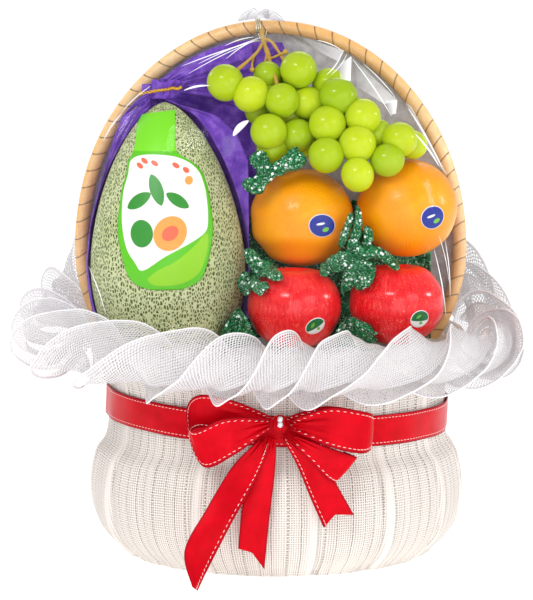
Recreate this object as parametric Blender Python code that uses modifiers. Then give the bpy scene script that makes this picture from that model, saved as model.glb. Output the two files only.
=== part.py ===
"""Fruit gift basket: a pleated cloth basket with a wrapped hoop, a mesh garland, a bow and fruit.

Units are metres. +Z is up, the front faces -Y, and the origin is the centre of the basket's
foot on the floor. Every separate piece of the basket is one closed solid under its own name.
"""
import math

import bmesh
import bpy
from mathutils import Matrix, Vector

MM = 0.001
FIT = 0.4 * MM

# Basket body
BELLY_RADIUS = 147 * MM
WAIST_RADIUS = 134 * MM
FOOT_RADIUS = 110 * MM
LIP_RADIUS = 144.5 * MM
LIP_HEIGHT = 175 * MM
BED_HEIGHT = 168 * MM
WAIST_HEIGHT = 116 * MM
PLEATS = 20
PLEAT_DEPTH = 1.8 * MM
PLEAT_FADE = 40 * MM
PLEAT_DRIFT = ((3, 1.0, 0.07), (7, 0.0, 0.04))
BODY_STEPS = 54

# Hoop over the fruit, an arch that stands across the basket
HOOP_X = -5 * MM
HOOP_Y = 20 * MM
HOOP_HALF_WIDTH = 152 * MM
HOOP_WIDEST = 240 * MM
HOOP_RISE = 176 * MM
HOOP_DROP = 143 * MM
HOOP_TUBE = 5.5 * MM
HOOP_FOOT = 153 * MM
HOOP_POINTS = 36

# Mesh garland around the rim
GARLAND_INNER = 152.5 * MM
GARLAND_HALF_WIDTH = 24 * MM
GARLAND_WIDER_LEFT = 3.6 * MM
GARLAND_HALF_HEIGHT = 23.5 * MM
GARLAND_HEIGHT = 170 * MM
GARLAND_BACK_RISE = 33 * MM
GARLAND_BACK_TALLER = 13 * MM
GARLAND_BACK_FROM = (0.05, 0.65)
GARLAND_LOBES = 26
GARLAND_SWELL = 0.15
GARLAND_STEPS = 78
GARLAND_SIDES = 7

# Ribbon band and bow
RIBBON_THICKNESS = 0.9 * MM
BAND_GAP = 2.5 * MM
BAND_WIDTH = 24 * MM
BAND_STEPS = 48
BAND_TILT = math.radians(2.5)
KNOT_CENTRE = Vector((2 * MM, -144.5 * MM, 123 * MM))
KNOT_SIZE = Vector((11 * MM, 8 * MM, 14 * MM))
KNOT_SQUARENESS = 0.7
BROOCH_RADIUS = 3.4 * MM
BROOCH_FLATNESS = 0.5
BROOCH_RISE = 2 * MM
NOTCH_FROM = 0.6

# Strips of the bow: steps along it, depth of its end notch, and stations along it that give its
# left and right edge, all in millimetres
BOW_STRIPS = {
    "loop_left": (14, 0, (
        ((-6, -143, 129), (-6, -143, 121)), ((-32, -147, 141), (-34, -147, 117)),
        ((-60, -151, 145), (-62, -151, 120)), ((-70, -156, 138), (-68, -157, 112)),
        ((-65, -164, 122), (-55, -166, 98)), ((-38, -166, 127), (-28, -167, 105)),
        ((-7, -154, 127), (-7, -155, 120)),
    )),
    "loop_right": (14, 0, (
        ((10, -143, 129), (10, -143, 121)), ((36, -147, 137), (36, -147, 113)),
        ((62, -150, 134), (62, -150, 109)), ((72, -155, 131), (70, -156, 106)),
        ((66, -163, 130), (62, -165, 105)), ((38, -165, 131), (40, -167, 110)),
        ((11, -154, 127), (11, -155, 120)),
    )),
    "loop_small": (10, 0, (
        ((9, -157.5, 113), (13, -157.5, 116)), ((24, -160, 98), (37, -159, 108)),
        ((37, -162, 84), (56, -160, 102)), ((43, -158.5, 81), (60, -157.5, 100)),
        ((36, -155, 89), (50, -155, 104)),
    )),
    "tail_left": (14, 0, (
        ((-14, -152.5, 112), (-6, -152.5, 108)), ((-34, -158, 93), (-15, -158, 85)),
        ((-54, -171, 62), (-33, -172, 55)), ((-70, -183, 33), (-50, -184, 24)),
        ((-64, -195, 8), (-60, -195, 5)),
    )),
    "tail_middle": (10, 3, (
        ((-9, -150, 114), (-1, -150, 112)), ((-21, -153, 90), (-2, -153, 88)),
        ((-27, -155, 60), (-6, -155, 56)), ((-30, -156, 30), (-9, -156, 20)),
    )),
    "tail_right": (10, 6, (
        ((3, -150, 114), (9, -150, 116)), ((14, -152, 94), (32, -152, 100)),
        ((24, -154, 70), (46, -154, 76)), ((35, -156, 45), (58, -156, 55)),
    )),
}

# Fruit
MELON_CENTRE = Vector((-86 * MM, -34 * MM, 231 * MM))
MELON_RADIUS = 61 * MM
MELON_TOP = 129 * MM
MELON_BOTTOM = 96 * MM
MELON_TILT = math.radians(-1)
MELON_TAPER = (1.7, 0.62)
LABEL_WIDTH = 78 * MM
LABEL_THICKNESS = 0.5 * MM
LABEL_LIFT = 0.9 * MM
LABEL_FOOT = math.radians(97)
LABEL_SWEEP = math.radians(80)
LABEL_OUTLINE = ((0.0, 0.30), (0.06, 0.72), (0.25, 1.0), (0.52, 0.97), (0.66, 0.80),
                 (0.74, 0.42), (0.80, 0.40), (1.0, 0.36))
STRAP_LEAN = math.radians(-22)
STRAP_LEAST_RING = 14 * MM
ORANGE_RADIUS = 40 * MM
ORANGES = {"left": Vector((19, -31, 268.5)) * MM, "right": Vector((102, -29, 276)) * MM}
APPLE_RADIUS = 38.5 * MM
APPLES = {"left": Vector((13, -69, 202)) * MM, "right": Vector((93.5, -54, 203)) * MM}
APPLE_SQUASH = 0.9
APPLE_DIMPLE = (0.26, 0.34)
APPLE_FOOT_DIMPLE = (0.14, 0.3)
APPLE_TAPER = 0.04
ORANGE_FLATNESS = 0.03

# Grapes in the front face of the bunch: x, z and radius in millimetres
FRONT_GRAPES = (
    (-40.5, 375.4, 14.2), (-19.7, 366.0, 14.2), (4.8, 361.8, 13.6), (17.2, 385.0, 14.3),
    (24.3, 359.5, 13.2), (48.1, 364.6, 14.2), (-6.0, 338.5, 14.0), (16.0, 334.2, 13.2),
    (39.7, 344.0, 14.2), (67.0, 349.6, 14.0), (62.8, 328.8, 14.0), (38.4, 321.5, 13.8),
    (62.1, 306.0, 13.2), (85.9, 317.0, 13.1), (95.8, 332.5, 14.2), (78.8, 336.5, 12.0),
)
# Grapes half hidden behind the front ones
BACK_GRAPES = (
    (-23.7, 383.5, 12.6), (39.8, 374.5, 12.5), (-4.0, 325.0, 12.2), (107.0, 329.0, 12.0),
    (28.0, 347.0, 13.0), (11.0, 374.0, 11.5),
)
GRAPE_TOP = 385 * MM
GRAPE_TOP_Y = -38 * MM
GRAPE_SLOPE = 0.42
GRAPE_STEP_BACK = 12 * MM
GRAPE_CURL = 12 * MM
GRAPE_CURL_FROM = (45 * MM, 105 * MM)
GRAPE_CORE_MIDDLE = (32 * MM, 348 * MM)
GRAPE_CORE_BEHIND = 12 * MM
GRAPE_CORE_RADII = (64 * MM, 13 * MM, 26 * MM)
GRAPE_CORE_ROLL = math.radians(24)

# Grape stem and its branches: radius and points in millimetres
STEM_LINES = {
    "grape_stem": (1.9, ((-14, 9.5, 408), (-12, 2, 399), (-7, -12, 391), (-4, -22, 384),
                         (-2, -30, 380))),
    "branch_left": (1.3, ((-12, 2, 399), (-19, -10, 398), (-27, -22, 398), (-34, -34, 395.5))),
    "branch_right": (1.3, ((-10, -4, 394), (-5, -10, 398), (-1, -16, 401), (4, -26, 402.5))),
}
STEM_TIE_X = -15 * MM
STEM_TIE_CLEAR = 1.8 * MM
STEM_TIE_WIRE = 0.8 * MM
STEM_TIE_STEPS = 14

# Cloth behind the melon: height and its left and right edge, in millimetres
CLOTH_EDGES = (
    (182, -141, -23.5), (205, -146, -22.5), (232, -149.5, -22.5), (262, -147, -22.5),
    (290, -140, -22.5), (314, -133, -23), (334, -127, -31), (348, -121, -46),
    (357, -113, -66), (364, -105.5, -83), (373, -105, -84),
)
CLOTH_CLEAR = 3.2 * MM
NECK_CENTRE = Vector((-94.5 * MM, -22 * MM, 368 * MM))
NECK_RADII = (10.5 * MM, 6.5 * MM)
CLOTH_THICKNESS = 1.0 * MM
CLOTH_EDGE_SHARE = 0.14
CLOTH_GATHER = (350 * MM, 14 * MM)
CLOTH_LOOSER = (320 * MM, 30 * MM, 1.2 * MM)
CLOTH_EDGE_FORWARD = 4 * MM
CLOTH_LAP = math.radians(60)
CLOTH_TIE_CLEAR = 3 * MM
CLOTH_TIE_WIRE = 1.0 * MM
CLOTH_TIE_LEAN = 2 * MM
CLOTH_TIE_STEPS = 16
FAN_CENTRE = Vector((-93 * MM, -20 * MM, 371 * MM))
FAN_INNER = 16 * MM
FAN_REACH = 80 * MM
FAN_RIGHT = -19 * MM
FAN_ANGLES = (math.radians(-16), math.radians(36))
FAN_BACK = 26 * MM
FAN_FOLD = 1.3 * MM
FAN_HOOP_CLEAR = 4 * MM

# Lining behind the fruit and film in front of it
LINING_THICKNESS = 0.8 * MM
LINING_BULGE = 24 * MM
LINING_GAP = 2.5 * MM
LINING_STAND = 1.0 * MM
LINING_FLATTENS = (300 * MM, 120 * MM)
FILM_THICKNESS = 0.5 * MM
FILM_EDGE_Y = 10.5 * MM
FILM_BULGE = 125 * MM
FILM_OVER_HOOP = 2.5 * MM
FILM_CROWN = 2.4
FILM_FOOT = 179 * MM
FILM_TUCK = 17 * MM
FILM_WIDEST = 200 * MM
FILM_TOP = 416 * MM
FILM_GATHER = 3 * MM
FILM_CORNERS = (2.5, 3.2)
FILM_CORNERS_OVER = 15 * MM
TUFT_FROM = 0.87
TUFT_X = -12 * MM
TUFT_HALF_WIDTH = 17 * MM
TUFT_SPREAD = 0.15
TUFT_FOOT = 419 * MM
TUFT_SHIFTS = (400 * MM, 16 * MM)
TUFT_TOP = 430 * MM
TUFT_DEPTH = 6 * MM
TUFT_WAVE = 1.5 * MM
TUFT_RISE = 2.5 * MM

# Glitter tulle pieces: centre x, z, width, height in millimetres, turn in degrees, clearance
TULLE = {
    "top": (0, 304, 44, 20, 20, 4.0),
    "left": (-13, 231, 22, 32, 0, 2.5),
    "strip": (60, 269, 17, 27, -12, 3.0),
    "knot": (63, 231, 58, 28, 10, 3.0),
    "low_left": (-26, 190, 20, 30, 18, 3.0),
    "low_middle": (58, 182, 32, 20, 0, 3.0),
}
TULLE_BED = -64 * MM
TULLE_THICKNESS = 0.8 * MM
TULLE_FOLD = 1.6 * MM
TULLE_FOLD_SPACING = 9
TULLE_MARGIN = 5 * MM
TULLE_PINCH = 0.45

STICKER_THICKNESS = 0.4 * MM
STICKERS = {
    "orange_left": (35, 266, 21, 17, -10), "orange_right": (121, 272, 19, 18, 0),
    "apple_left": (30, 190, 18, 16, 35), "apple_right": (111, 194, 17, 17, 0),
}

MATERIALS = {
    "linen": ((0.80, 0.75, 0.68), 0.9, 0.0), "rattan": ((0.80, 0.52, 0.20), 0.45, 0.0),
    "mesh": ((0.86, 0.85, 0.84), 0.8, 0.0), "ribbon": ((0.62, 0.01, 0.03), 0.35, 0.0),
    "stone": ((0.85, 0.86, 0.90), 0.15, 0.6), "melon": ((0.48, 0.55, 0.30), 0.7, 0.0),
    "label": ((0.88, 0.92, 0.80), 0.35, 0.0), "cloth": ((0.14, 0.05, 0.42), 0.75, 0.0),
    "wire": ((0.72, 0.50, 0.16), 0.3, 0.9), "orange": ((0.90, 0.36, 0.02), 0.4, 0.0),
    "apple": ((0.70, 0.02, 0.03), 0.3, 0.0), "sticker_blue": ((0.01, 0.05, 0.45), 0.35, 0.0),
    "sticker_green": ((0.10, 0.45, 0.12), 0.35, 0.0), "grape": ((0.55, 0.72, 0.06), 0.25, 0.0),
    "stem": ((0.48, 0.36, 0.10), 0.6, 0.0), "tulle": ((0.02, 0.26, 0.12), 0.5, 0.0),
    "lining": ((0.42, 0.38, 0.37), 0.8, 0.0), "film": ((0.85, 0.88, 0.90), 0.1, 0.0),
}


def clear_scene():
    """Remove the objects that a new file starts with."""
    for obj in list(bpy.data.objects):
        bpy.data.objects.remove(obj, do_unlink=True)


def make_material(name):
    """Return the named Principled material, made on first use."""
    found = bpy.data.materials.get(name)
    if found:
        return found
    colour, roughness, metallic = MATERIALS[name]
    made = bpy.data.materials.new(name)
    made.use_nodes = True
    shader = made.node_tree.nodes["Principled BSDF"]
    shader.inputs["Base Color"].default_value = (*colour, 1.0)
    shader.inputs["Roughness"].default_value = roughness
    shader.inputs["Metallic"].default_value = metallic
    return made


def add_object(name, mesh, material, collection):
    """Link a mesh to the scene as one named, smooth-shaded object."""
    mesh.materials.clear()
    mesh.materials.append(make_material(material))
    mesh.shade_smooth()
    mesh.set_sharp_from_angle(angle=math.radians(40))
    obj = bpy.data.objects.new(name, mesh)
    collection.objects.link(obj)
    return obj


def new_collection(name):
    """Make a collection in the scene."""
    collection = bpy.data.collections.new(name)
    bpy.context.scene.collection.children.link(collection)
    return collection


def mesh_from(build):
    """Return a mesh made by a function that fills a bmesh."""
    shape = bmesh.new()
    build(shape)
    mesh = bpy.data.meshes.new("shape")
    shape.to_mesh(mesh)
    shape.free()
    return mesh


def as_mesh(obj):
    """Turn an object with modifiers, or a curve, into a plain mesh object of the same name."""
    graph = bpy.context.evaluated_depsgraph_get()
    mesh = bpy.data.meshes.new_from_object(obj.evaluated_get(graph))
    shape = bmesh.new()
    shape.from_mesh(mesh)
    bmesh.ops.remove_doubles(shape, verts=shape.verts, dist=0.01 * MM)
    shape.to_mesh(mesh)
    shape.free()
    name = obj.name
    collection = obj.users_collection[0]
    material = obj.active_material.name
    matrix = obj.matrix_world.copy()
    bpy.data.objects.remove(obj, do_unlink=True)
    plain = add_object(name, mesh, material, collection)
    plain.matrix_world = matrix
    return plain


def boolean(obj, operation, operand):
    """Apply a Boolean with an object or a whole collection, then remove the operands."""
    modifier = obj.modifiers.new("Boolean", "BOOLEAN")
    modifier.operation = operation
    modifier.solver = "EXACT"
    modifier.operand_type = "COLLECTION"
    modifier.collection = operand
    result = as_mesh(obj)
    for tool in list(operand.objects):
        bpy.data.objects.remove(tool, do_unlink=True)
    return result


def sheet(name, columns, rows, place, thickness, material, collection):
    """Bend a flat grid by place(u, v) and give it a thickness."""
    def build(shape):
        bmesh.ops.create_grid(shape, x_segments=columns, y_segments=rows, size=0.5)
        for vertex in shape.verts:
            vertex.co = place(vertex.co.x + 0.5, vertex.co.y + 0.5)
        bmesh.ops.triangulate(shape, faces=shape.faces)
    obj = add_object(name, mesh_from(build), material, collection)
    solid = obj.modifiers.new("Thickness", "SOLIDIFY")
    solid.thickness = thickness
    solid.offset = 0.0
    return obj


def tube(name, points, radius, material, collection, sides=2, radii=None):
    """Run a round tube with closed ends through a list of points."""
    curve = bpy.data.curves.new(name, "CURVE")
    curve.dimensions = "3D"
    curve.bevel_depth = radius
    curve.bevel_resolution = sides
    curve.use_fill_caps = True
    spline = curve.splines.new("POLY")
    spline.points.add(len(points) - 1)
    for index, (item, point) in enumerate(zip(spline.points, points)):
        item.co = (*point, 1.0)
        item.radius = radii[index] if radii else 1.0
    curve.materials.append(make_material(material))
    obj = bpy.data.objects.new(name, curve)
    collection.objects.link(obj)
    return as_mesh(obj)


def revolve(name, profile, steps, material, collection):
    """Turn a profile of (radius, height) pairs around the Z axis."""
    def build(shape):
        points = [shape.verts.new((radius, 0, height)) for radius, height in profile]
        for first, second in zip(points, points[1:]):
            shape.edges.new((first, second))
    obj = add_object(name, mesh_from(build), material, collection)
    screw = obj.modifiers.new("Turn", "SCREW")
    screw.steps = steps
    screw.render_steps = steps
    screw.use_merge_vertices = True
    screw.merge_threshold = 0.01 * MM
    return as_mesh(obj)


def full_turn(steps):
    """Evenly spaced angles once round."""
    return [index / steps * math.tau for index in range(steps)]


def smoothstep(value):
    """Ease from 0 to 1 over the unit range."""
    value = min(max(value, 0.0), 1.0)
    return value * value * (3 - 2 * value)


def signed_power(value, power):
    """Raise a signed value to a power and keep its sign."""
    return math.copysign(abs(value) ** power, value)


def table(rows, height):
    """Interpolate a table whose first column is the height."""
    for low, high in zip(rows, rows[1:]):
        if height <= high[0]:
            share = max(0.0, (height - low[0]) / (high[0] - low[0]))
            return [a + (b - a) * share for a, b in zip(low, high)]
    return list(rows[-1])


# Basket

def body_profile():
    """Outline of the basket from the middle of its bed, over the lip, down to the foot."""
    return (
        (0, BED_HEIGHT), (LIP_RADIUS - 1.5 * MM, BED_HEIGHT), (LIP_RADIUS, LIP_HEIGHT),
        (LIP_RADIUS + 4.5 * MM, LIP_HEIGHT - 1 * MM), (LIP_RADIUS - 2 * MM, 155 * MM),
        (WAIST_RADIUS, 138 * MM), (WAIST_RADIUS, 95 * MM),
        (BELLY_RADIUS - 4 * MM, 78 * MM), (BELLY_RADIUS, 50 * MM),
        (BELLY_RADIUS - 5 * MM, 24 * MM), (BELLY_RADIUS - 20 * MM, 6 * MM),
        (FOOT_RADIUS, 0), (0, 0),
    )


def pleat(angle, height):
    """How far a pleat stands out at an angle and height."""
    pinch = smoothstep(abs(height - WAIST_HEIGHT) / PLEAT_FADE)
    drift = sum(size * math.sin(waves * angle + start) for waves, start, size in PLEAT_DRIFT)
    return PLEAT_DEPTH * pinch * math.cos(PLEATS * (angle + drift))


def make_body(collection):
    """Pleated cloth basket, solid to its bed, with a pocket for the melon and two hoop sockets."""
    body = revolve("basket_body", body_profile(), BODY_STEPS, "linen", collection)
    for vertex in body.data.vertices:
        x, y, z = vertex.co
        radius = math.hypot(x, y)
        outside = z < BED_HEIGHT - MM or radius > LIP_RADIUS + MM
        if outside and radius > MM:
            scale = 1 + pleat(math.atan2(y, x), z) / radius
            vertex.co = (x * scale, y * scale, z)
    cutters = new_collection("cutters")
    melon_shape("melon_pocket", FIT, cutters)
    hoop_tube("hoop_socket", HOOP_TUBE + FIT, FIT, cutters)
    for cutter in cutters.objects:
        cutter.hide_render = True
        cutter.display_type = "WIRE"
    return boolean(body, "DIFFERENCE", cutters)


def hoop_half_width(height, inset=0.0):
    """Half the hoop's width at a height, along its centre line or a line inset from it."""
    reach = HOOP_RISE if height >= HOOP_WIDEST else HOOP_DROP
    share = (height - HOOP_WIDEST) / (reach - inset)
    return (HOOP_HALF_WIDTH - inset) * math.sqrt(max(0.0, 1 - share * share))


def hoop_point(share, deeper=0.0):
    """Point on the hoop's line: share 0 is the left foot, 0.5 the top and 1 the right foot."""
    side = -1 if share < 0.5 else 1
    from_top = abs(share - 0.5) * 2
    drop_angle = math.asin((HOOP_WIDEST - HOOP_FOOT + deeper) / HOOP_DROP)
    angle = from_top * (math.pi / 2 + drop_angle)
    reach = HOOP_RISE if angle <= math.pi / 2 else HOOP_DROP
    across = math.sin(angle) * HOOP_HALF_WIDTH
    height = HOOP_WIDEST + math.cos(angle) * reach
    return Vector((HOOP_X + side * across, HOOP_Y, height))


def hoop_tube(name, radius, deeper, collection):
    """Tube along the hoop, its feet lower by deeper."""
    points = [hoop_point(index / HOOP_POINTS, deeper) for index in range(HOOP_POINTS + 1)]
    return tube(name, points, radius, "rattan", collection)


def make_garland(collection):
    """Twisted mesh ring: an oval section that turns as it goes round and rises at the back."""
    bpy.ops.mesh.primitive_torus_add(major_segments=GARLAND_STEPS, minor_segments=GARLAND_SIDES,
                                     major_radius=1.0, minor_radius=0.25)
    torus = bpy.context.object
    mesh = torus.data.copy()
    bpy.data.objects.remove(torus, do_unlink=True)
    for vertex in mesh.vertices:
        x, y, z = vertex.co
        angle = math.atan2(y, x)
        section = math.atan2(z, math.hypot(x, y) - 1.0)
        vertex.co = garland_point(angle, section)
    return add_object("mesh_garland", mesh, "mesh", collection)


def garland_point(angle, section):
    """Point on the garland's surface at an angle round the ring and round its section."""
    half = GARLAND_HALF_WIDTH - GARLAND_WIDER_LEFT * math.cos(angle)
    twist = 2 * section + GARLAND_LOBES * angle
    swell = 1 + GARLAND_SWELL * math.cos(twist)
    radius = GARLAND_INNER + half * (1 + GARLAND_SWELL) + half * swell * math.cos(section)
    start, end = GARLAND_BACK_FROM
    back = smoothstep((math.sin(angle) - start) / (end - start))
    height = GARLAND_HEIGHT + GARLAND_BACK_RISE * back
    tall = GARLAND_HALF_HEIGHT + GARLAND_BACK_TALLER * back
    return Vector((radius * math.cos(angle), radius * math.sin(angle),
                   height + tall * swell * math.sin(section)))


# Ribbon

def make_band(collection):
    """Flat ribbon ring around the waist, a little higher on the left."""
    inner = WAIST_RADIUS + BAND_GAP
    outer = inner + RIBBON_THICKNESS
    half = BAND_WIDTH / 2
    profile = ((inner, half), (outer, half), (outer, -half), (inner, -half), (inner, half))
    band = revolve("ribbon_band", profile, BAND_STEPS, "ribbon", collection)
    band.location.z = WAIST_HEIGHT
    band.rotation_euler.y = BAND_TILT
    return band


def ribbon_strip(name, stations, steps, notch, collection):
    """Ribbon through stations of (left edge, right edge) points, eased between them."""
    lefts = [Vector(left) * MM for left, _ in stations]
    rights = [Vector(right) * MM for _, right in stations]
    last = len(stations) - 1

    def eased(points, share):
        position = share * last
        index = min(int(position), last - 1)
        around = [points[max(0, min(last, index + shift))] for shift in (-1, 0, 1, 2)]
        return catmull(around, position - index)

    def place(u, v):
        left = eased(lefts, v)
        right = eased(rights, v)
        point = left.lerp(right, u)
        if notch and v > NOTCH_FROM:
            along = left + right - eased(lefts, NOTCH_FROM) - eased(rights, NOTCH_FROM)
            share = (v - NOTCH_FROM) / (1 - NOTCH_FROM)
            point -= along.normalized() * notch * (1 - abs(2 * u - 1)) * share
        return point

    return sheet(name, 2, steps, place, RIBBON_THICKNESS, "ribbon", collection)


def catmull(points, share):
    """Smooth curve through the middle two of four points."""
    before, start, end, after = points
    return 0.5 * (2 * start + (end - before) * share
                  + (2 * before - 5 * start + 4 * end - after) * share ** 2
                  + (3 * start - before - 3 * end + after) * share ** 3)


def make_bow(collection):
    """Loops, tails, a knot and a set stone."""
    for name, (steps, notch, stations) in BOW_STRIPS.items():
        ribbon_strip("bow_" + name, stations, steps, notch * MM, collection)
    bpy.ops.mesh.primitive_uv_sphere_add(segments=10, ring_count=6, radius=0.5)
    knot = take_primitive("bow_knot", "ribbon", collection)
    for vertex in knot.data.vertices:
        vertex.co = [signed_power(value * 2, KNOT_SQUARENESS) * size / 2
                     for value, size in zip(vertex.co, KNOT_SIZE)]
    knot.location = KNOT_CENTRE
    bpy.ops.mesh.primitive_uv_sphere_add(segments=8, ring_count=5, radius=BROOCH_RADIUS)
    stone = take_primitive("bow_stone", "stone", collection)
    forward = KNOT_SIZE.y / 2 + BROOCH_RADIUS * BROOCH_FLATNESS + FIT
    stone.location = KNOT_CENTRE + Vector((0, -forward, BROOCH_RISE))
    for vertex in stone.data.vertices:
        vertex.co.y *= BROOCH_FLATNESS


def take_primitive(name, material, collection):
    """Move the primitive that was just added into the collection under its own name."""
    made = bpy.context.object
    mesh = made.data.copy()
    bpy.data.objects.remove(made, do_unlink=True)
    return add_object(name, mesh, material, collection)


# Fruit

def melon_frame():
    """Matrix from the melon's own frame, its axis along Z, to the basket."""
    return Matrix.Translation(MELON_CENTRE) @ Matrix.Rotation(MELON_TILT, 4, "Y")


def melon_surface(angle, polar, offset=0.0):
    """Point on the melon at an angle round its axis and a polar angle from its top."""
    height = (MELON_TOP if math.cos(polar) > 0 else MELON_BOTTOM) * math.cos(polar)
    ring = melon_ring(height)
    grown = (ring + offset * math.sin(polar), height + offset * math.cos(polar))
    return Vector((grown[0] * math.sin(angle), -grown[0] * math.cos(angle), grown[1]))


def melon_ring(height):
    """Radius of the melon at a height above its widest ring: it narrows towards the top."""
    if height < 0:
        return MELON_RADIUS * math.sqrt(max(0.0, 1 - (height / MELON_BOTTOM) ** 2))
    power, curve = MELON_TAPER
    return MELON_RADIUS * max(0.0, 1 - (height / MELON_TOP) ** power) ** curve


def melon_shape(name, offset, collection):
    """Egg-shaped melon, larger by offset all round."""
    bpy.ops.mesh.primitive_uv_sphere_add(segments=24, ring_count=13, radius=1.0)
    melon = take_primitive(name, "melon", collection)
    for vertex in melon.data.vertices:
        polar = math.acos(max(-1.0, min(1.0, vertex.co.z)))
        angle = math.atan2(vertex.co.x, -vertex.co.y)
        vertex.co = melon_surface(angle, polar, offset)
    melon.matrix_world = melon_frame()
    return melon


def melon_label(collection):
    """Paper label on the melon's front with a strap that runs over its top."""
    frame = melon_frame()

    def place(u, v):
        polar = LABEL_FOOT - v * LABEL_SWEEP
        half_width = table(LABEL_OUTLINE, v)[1] * LABEL_WIDTH / 2
        height = (MELON_TOP if math.cos(polar) > 0 else MELON_BOTTOM) * math.cos(polar)
        angle = (2 * u - 1) * half_width / max(melon_ring(height), STRAP_LEAST_RING)
        lean = STRAP_LEAN * smoothstep(2 * v - 1)
        return frame @ melon_surface(angle + lean, polar, LABEL_LIFT)

    return sheet("melon_label", 6, 10, place, LABEL_THICKNESS, "label", collection)


def orange_surface(direction, offset=0.0):
    """Point on an orange in a direction from its centre."""
    return direction * (ORANGE_RADIUS * (1 - ORANGE_FLATNESS * direction.z ** 2) + offset)


def apple_surface(direction, offset=0.0):
    """Point on an apple in a direction from its centre: broad shoulders and two dimples."""
    polar = math.acos(max(-1.0, min(1.0, direction.z)))
    dimples = sum(depth * math.exp(-(away / spread) ** 2) for away, (depth, spread) in
                  ((polar, APPLE_DIMPLE), (math.pi - polar, APPLE_FOOT_DIMPLE)))
    taper = APPLE_TAPER * (1 - math.cos(polar)) * math.sin(polar)
    radius = APPLE_RADIUS * (1 - dimples - taper) + offset
    return Vector((direction.x, direction.y, direction.z * APPLE_SQUASH)) * radius


def round_fruit(name, centre, surface, material, collection):
    """Sphere shaped by a function of direction."""
    bpy.ops.mesh.primitive_uv_sphere_add(segments=20, ring_count=11, radius=1.0)
    fruit = take_primitive(name, material, collection)
    for vertex in fruit.data.vertices:
        vertex.co = surface(vertex.co.normalized())
    fruit.location = centre
    return fruit


def make_sticker(name, centre, surface, material, collection):
    """Oval sticker that follows the fruit's front."""
    x, z, width, height, turn = STICKERS[name]
    across = Vector((x * MM - centre.x, 0, z * MM - centre.z))
    middle = Vector((across.x, -math.sqrt(ORANGE_RADIUS ** 2 - across.length_squared), across.z))
    normal = middle.normalized()
    side = normal.cross(Vector((0, 0, 1))).normalized() * -1
    up = normal.cross(side)
    if up.z < 0:
        up.negate()
    roll = math.radians(turn)
    lift = FIT + STICKER_THICKNESS

    def build(shape):
        bmesh.ops.create_circle(shape, cap_ends=True, cap_tris=True, segments=10, radius=1.0)
        bmesh.ops.subdivide_edges(shape, edges=shape.edges, cuts=1)
        for vertex in shape.verts:
            a = vertex.co.x * width / 2 * MM
            b = vertex.co.y * height / 2 * MM
            tangent = (side * (a * math.cos(roll) - b * math.sin(roll))
                       + up * (a * math.sin(roll) + b * math.cos(roll)))
            direction = (normal * ORANGE_RADIUS + tangent).normalized()
            vertex.co = centre + surface(direction, lift)
        bmesh.ops.triangulate(shape, faces=shape.faces)
        bmesh.ops.recalc_face_normals(shape, faces=shape.faces)

    obj = add_object("sticker_" + name, mesh_from(build), material, collection)
    solid = obj.modifiers.new("Thickness", "SOLIDIFY")
    solid.thickness = STICKER_THICKNESS
    solid.offset = 0.0
    return obj


def grape_depth(x, height):
    """y of the front grapes: the bunch leans forward as it hangs and curls back at the right."""
    start, end = GRAPE_CURL_FROM
    curl = max(0.0, (x - start) / (end - start)) ** 2
    return GRAPE_TOP_Y - GRAPE_SLOPE * (GRAPE_TOP - height) + GRAPE_CURL * curl


def make_grapes(collection):
    """Bunch of grapes: a slanted core with the round grapes that show fused on."""
    bpy.ops.mesh.primitive_uv_sphere_add(segments=10, ring_count=6, radius=1.0)
    core = take_primitive("grape_bunch", "grape", collection)
    x, z = GRAPE_CORE_MIDDLE
    middle = Matrix.Translation((x, grape_depth(x, z) + GRAPE_CORE_BEHIND, z))
    lean = Matrix.Rotation(math.atan(GRAPE_SLOPE), 4, "X")
    roll = Matrix.Rotation(GRAPE_CORE_ROLL, 4, "Y")
    core.data.transform(middle @ lean @ roll @ Matrix.Diagonal((*GRAPE_CORE_RADII, 1)))
    berries = new_collection("berries")
    rows = [(row, 0.0) for row in FRONT_GRAPES] + [(row, GRAPE_STEP_BACK) for row in BACK_GRAPES]
    for index, ((x, z, radius), back) in enumerate(rows):
        bpy.ops.mesh.primitive_ico_sphere_add(subdivisions=2, radius=radius * MM)
        berry = take_primitive("berry_%d" % index, "grape", berries)
        spin = Matrix.Rotation(index * 0.7, 4, "Z") @ Matrix.Rotation(index * 1.1, 4, "X")
        place = Matrix.Translation((x * MM, grape_depth(x * MM, z * MM) + back, z * MM))
        berry.data.transform(place @ spin)
    return boolean(core, "UNION", berries)


def make_stem(collection):
    """Grape stem that hangs from the hoop with its side branches, and its wire tie."""
    branches = new_collection("branches")
    for name, (radius, points) in STEM_LINES.items():
        home = collection if name == "grape_stem" else branches
        tube(name, [Vector(point) * MM for point in points], radius * MM, "stem", home, sides=1)
    boolean(bpy.data.objects["grape_stem"], "UNION", branches)
    radius = HOOP_TUBE + STEM_TIE_CLEAR
    centre = Vector((STEM_TIE_X, HOOP_Y, hoop_top()))
    ring = [centre + Vector((0, radius * math.cos(turn), radius * math.sin(turn)))
            for turn in full_turn(STEM_TIE_STEPS)]
    closed_tube("stem_tie", ring, STEM_TIE_WIRE, "wire", collection)


def hoop_top():
    """Height of the hoop's centre line at its top."""
    return HOOP_WIDEST + HOOP_RISE


def closed_tube(name, points, radius, material, collection):
    """Round tube around a closed line of points."""
    curve = bpy.data.curves.new(name, "CURVE")
    curve.dimensions = "3D"
    curve.bevel_depth = radius
    curve.bevel_resolution = 0
    spline = curve.splines.new("POLY")
    spline.points.add(len(points) - 1)
    for item, point in zip(spline.points, points):
        item.co = (*point, 1.0)
    spline.use_cyclic_u = True
    curve.materials.append(make_material(material))
    obj = bpy.data.objects.new(name, curve)
    collection.objects.link(obj)
    return as_mesh(obj)


# Cloth, lining and film

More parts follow.
